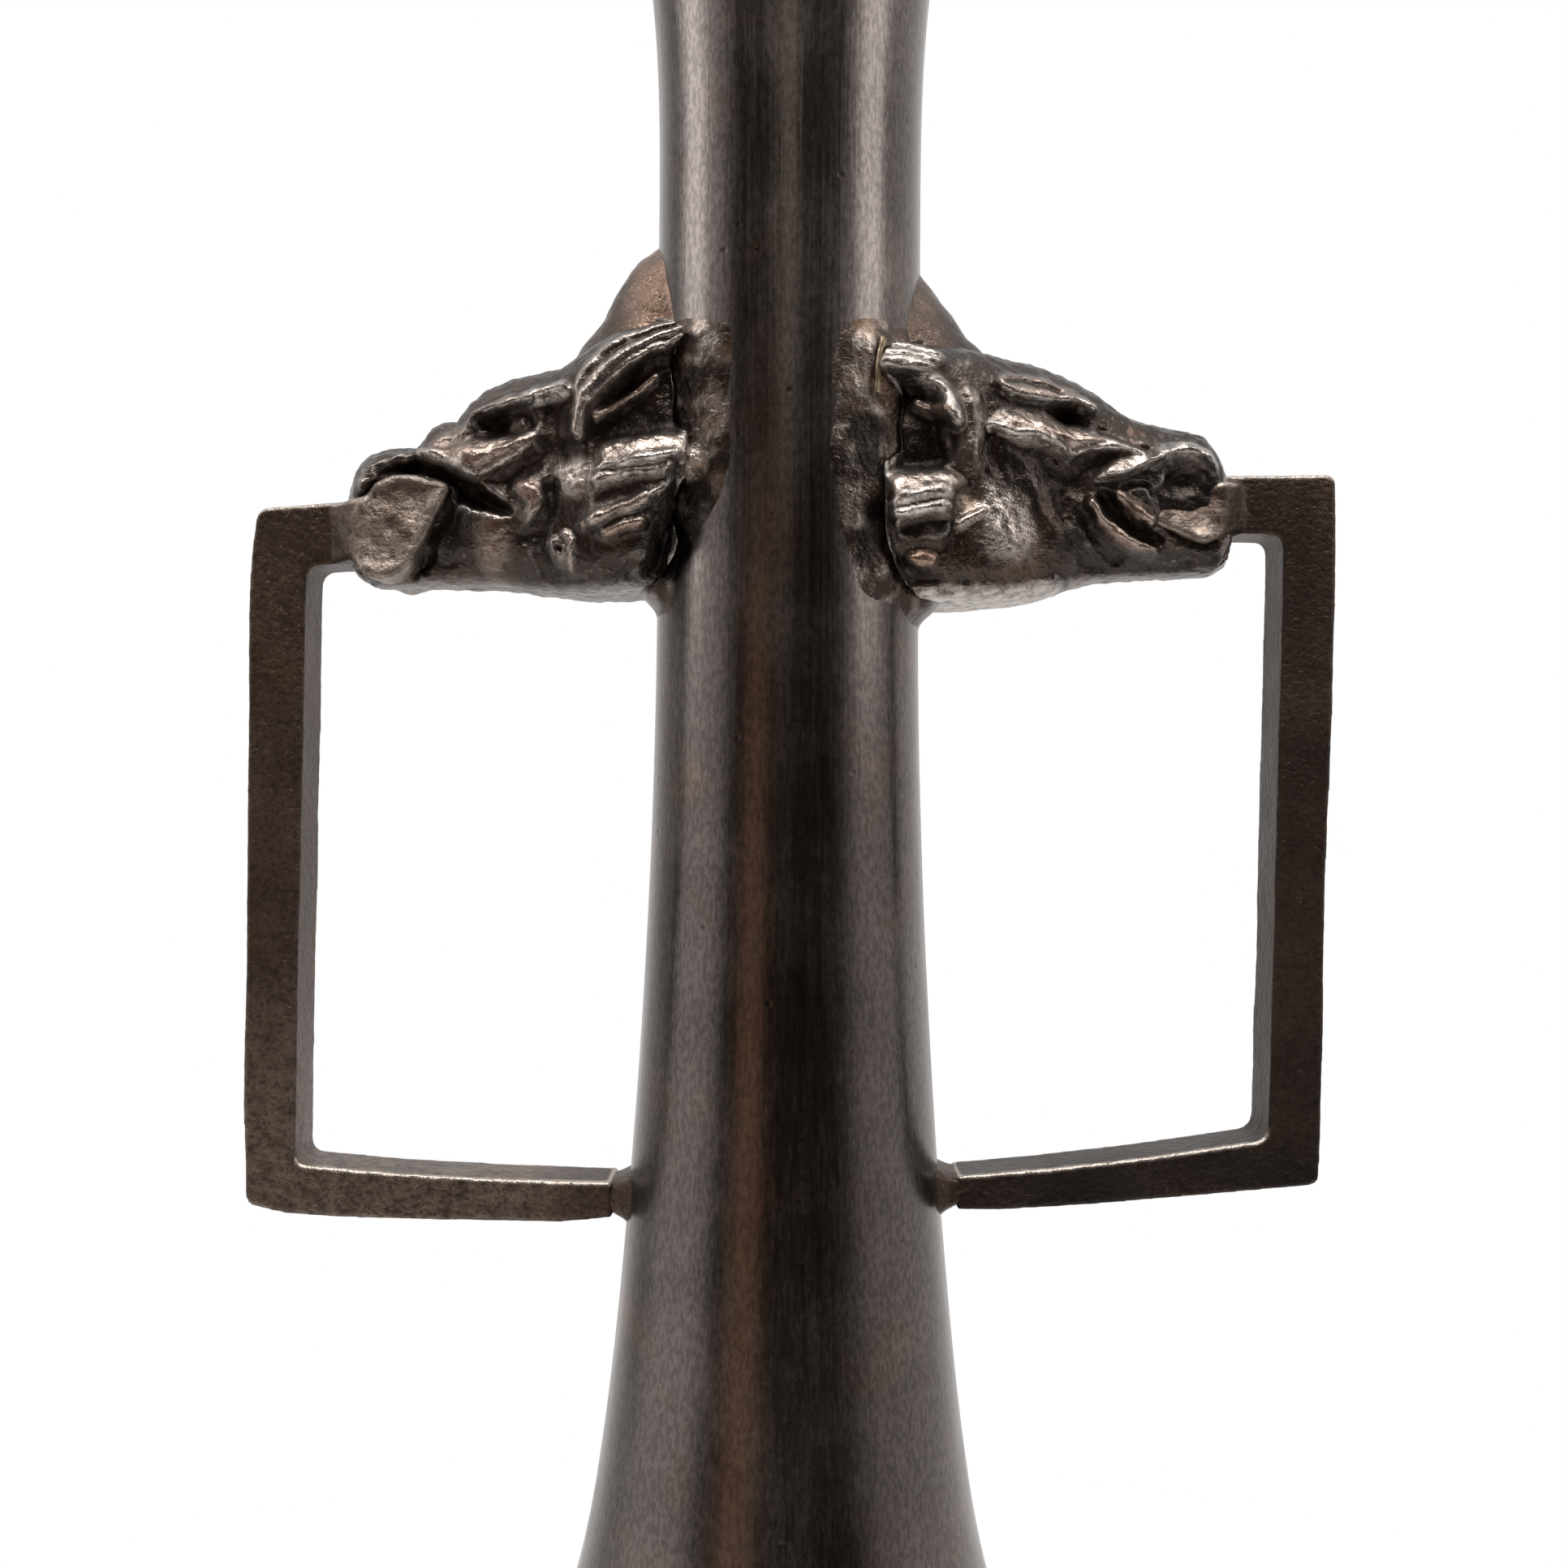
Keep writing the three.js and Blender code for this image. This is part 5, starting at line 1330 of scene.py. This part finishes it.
def face_relief(fields, strokes, out, up):
    """Height, painted shade, redness and paleness at each point of the side of a face; the paleness is
    rubbed wear together with painted highlight.
    """
    relief, grime, blush, pale = np.zeros((4, len(out)))
    for height, edge, lean, redness, tone, outline in fields:
        outline = softened(outline, True)
        distance = distance_to_line(outline + outline[:1], out, up)
        signed = np.where(inside_outline(outline, out, up), distance, -distance)
        middle = sum(point[1] for point in outline) / len(outline)
        share = ease(signed, -edge / 2, edge)
        relief += (height + lean * (up - middle)) * share
        blush += (redness - blush) * share
        pale += (max(tone, 0) - pale) * share
        # Sunk fields and dark tones get painted shade.
        grime += (max(-tone, -height / FIELD_SHADE_DEPTH, 0) - grime) * share
    for height, width, redness, tone, line in strokes:
        reach = np.minimum(distance_to_line(softened(line, False), out, up) / width, 1)
        share = (1 - reach ** 2) ** STROKE_ROUND
        relief += height * share
        blush += (redness - blush) * share
        pale += (np.maximum(pale, tone) * (height > 0) - pale) * share
        # Grooves get painted shade.
        grime += (max(-height / STROKE_SHADE_DEPTH, 0) - grime) * share
    return relief, grime, blush, pale


def head_casting(name, side, sections, fields, strokes):
    bpy.ops.mesh.primitive_uv_sphere_add(segments=HEAD_AROUND, ring_count=HEAD_ALONG, radius=1)
    piece = bpy.context.object
    piece.name = name
    unit = get_points(piece)
    table = np.array(sections)
    share = np.arccos(np.clip(unit[:, 2], -1, 1)) / math.pi
    angle = np.arctan2(unit[:, 1], unit[:, 0])
    out = table[0, 0] + share * (table[-1, 0] - table[0, 0])
    low, high, half_width = (np.interp(out, table[:, 0], table[:, column]) for column in (1, 2, 3))
    off_pole = np.abs(unit[:, 2]) < 0.99999
    power = SQUARENESS - SQUARENESS_LOST * ease(out, *ROUNDED_BY)
    stretch = off_pole / (np.abs(np.cos(angle)) ** power + np.abs(np.sin(angle)) ** power) ** (1 / power)
    across, rise = stretch * np.cos(angle), stretch * np.sin(angle)
    up = (low + high) / 2 + (high - low) / 2 * rise
    flank = np.sign(across) * np.minimum(1, FLANK_GAIN * np.abs(across))
    skin = np.stack([out, half_width * across, up], axis=1) * MM
    drift_out, drift_up = (
        sum(play * cloud(skin, size, offset) for size, play in LINE_WANDER) for offset in (3.0, 17.0)
    )
    relief, grime, blush, pale = face_relief(fields, strokes, out + drift_out, up + drift_up)
    relief *= 1 + RELIEF_PLAY * cloud(skin, RELIEF_PLAY_SIZE, 31.0)
    relief -= RELIEF_PRESSED * np.maximum(relief - RELIEF_LIMIT, 0)
    y = half_width * across + flank * relief
    seat = np.sqrt(np.maximum((SEAT_RADIUS - HEAD_LAP) ** 2 - y ** 2, 0))
    reach = np.maximum(SEAT_RADIUS + out, seat)
    set_points(piece, np.stack([side * reach, y, MOUTH_Z + up], axis=1) * MM)
    store_values(piece, grime=grime, blush=blush, pale=pale)
    tidy_mesh(piece)
    apply_modifier(piece, "SMOOTH", factor=0.5, iterations=2)
    roughen(piece, HEAD_LUMPS)
    return piece


def crest_casting(name, side, crest, redness):
    heights, reaches = np.array(crest).T

    def place(across, along):
        z = heights[0] + along * (heights[-1] - heights[0])
        angle = (across * 2 - 1) * (CREST_HALF_ANGLE * np.sqrt(1 - 0.95 * along ** 2.2))
        fin = np.interp(z, heights, reaches) - neck_reach(z)
        swell = np.cos((across * 2 - 1) * math.pi / 2) ** 1.5
        radius = neck_reach(z) - CREST_SINK + np.maximum(fin, 0) * swell
        return side * radius * np.cos(angle), radius * np.sin(angle), z
    piece = sheet(name, 72, 80, place)
    backed(piece, side, CREST_BACKING)
    apply_modifier(piece, "SMOOTH", factor=0.5, iterations=2)
    roughen(piece, CREST_LUMPS)
    near = ease(np.abs(get_points(piece)[:, 0]) / MM, *CREST_NEAR_NECK)
    # Redder and paler near the neck, darker towards the crest's outer rim.
    store_values(piece, blush=redness * (0.3 + 0.7 * near), grime=0.45 * (1 - near),
                 pale=redness * 0.22 * near)
    return piece


def beast_head(name, side, sections, fields, strokes, crest, redness):
    piece = head_casting(name, side, sections, fields, strokes)
    pick(piece, crest_casting(name + "_crest", side, crest, redness))
    bpy.ops.object.join()
    bpy.ops.object.shade_smooth()
    store_relief(piece, rounds=26, depth=0.34)
    return piece


for hand, form in HEADS.items():
    finish_piece(beast_head(f"{hand}_beast", **form), RUBBED_AND_LIT_BRONZE, "rubbed_bronze", f"{hand}_head")


# Dowels and the seam beside the right head
# A bronze peg behind each head goes through the saddle into the neck's wall. On the right a hair of brass
# solder shows between the ear and the saddle.
SEAM_OUT = [8.25, 8.3, 8.5, 8.9]
SEAM_HEIGHT = [216.6, 218.8, 220.5, 222.0]
SEAM_HALF_WIDTH = 0.07
SEAM_BULGE = 0.2
SEAM_PROUD = 0.05
SEAM_BACKING = 0.3
SEAM_LUMPS = [(1.0, 0.08)]


def seam_piece(name):
    def place(along, across):
        z = SEAM_HEIGHT[-1] + along * (SEAM_HEIGHT[0] - SEAM_HEIGHT[-1])
        out = np.interp(z, SEAM_HEIGHT, SEAM_OUT) + (across * 2 - 1) * SEAM_HALF_WIDTH
        radius = neck_reach(z) + SADDLE_THICKNESS + SEAM_PROUD + SEAM_BULGE * np.sin(across * math.pi)
        return out, -np.sqrt(radius ** 2 - out ** 2), z
    piece = sheet(name, 60, 6, place)
    backed(piece, 1, SEAM_BACKING)
    roughen(piece, SEAM_LUMPS)
    return piece


for hand in ("left", "right"):
    dress(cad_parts[f"{hand}_dowel"], DULL_BRONZE)
finish_piece(seam_piece("right_seam"), FILLER_METAL, "filler_metal")
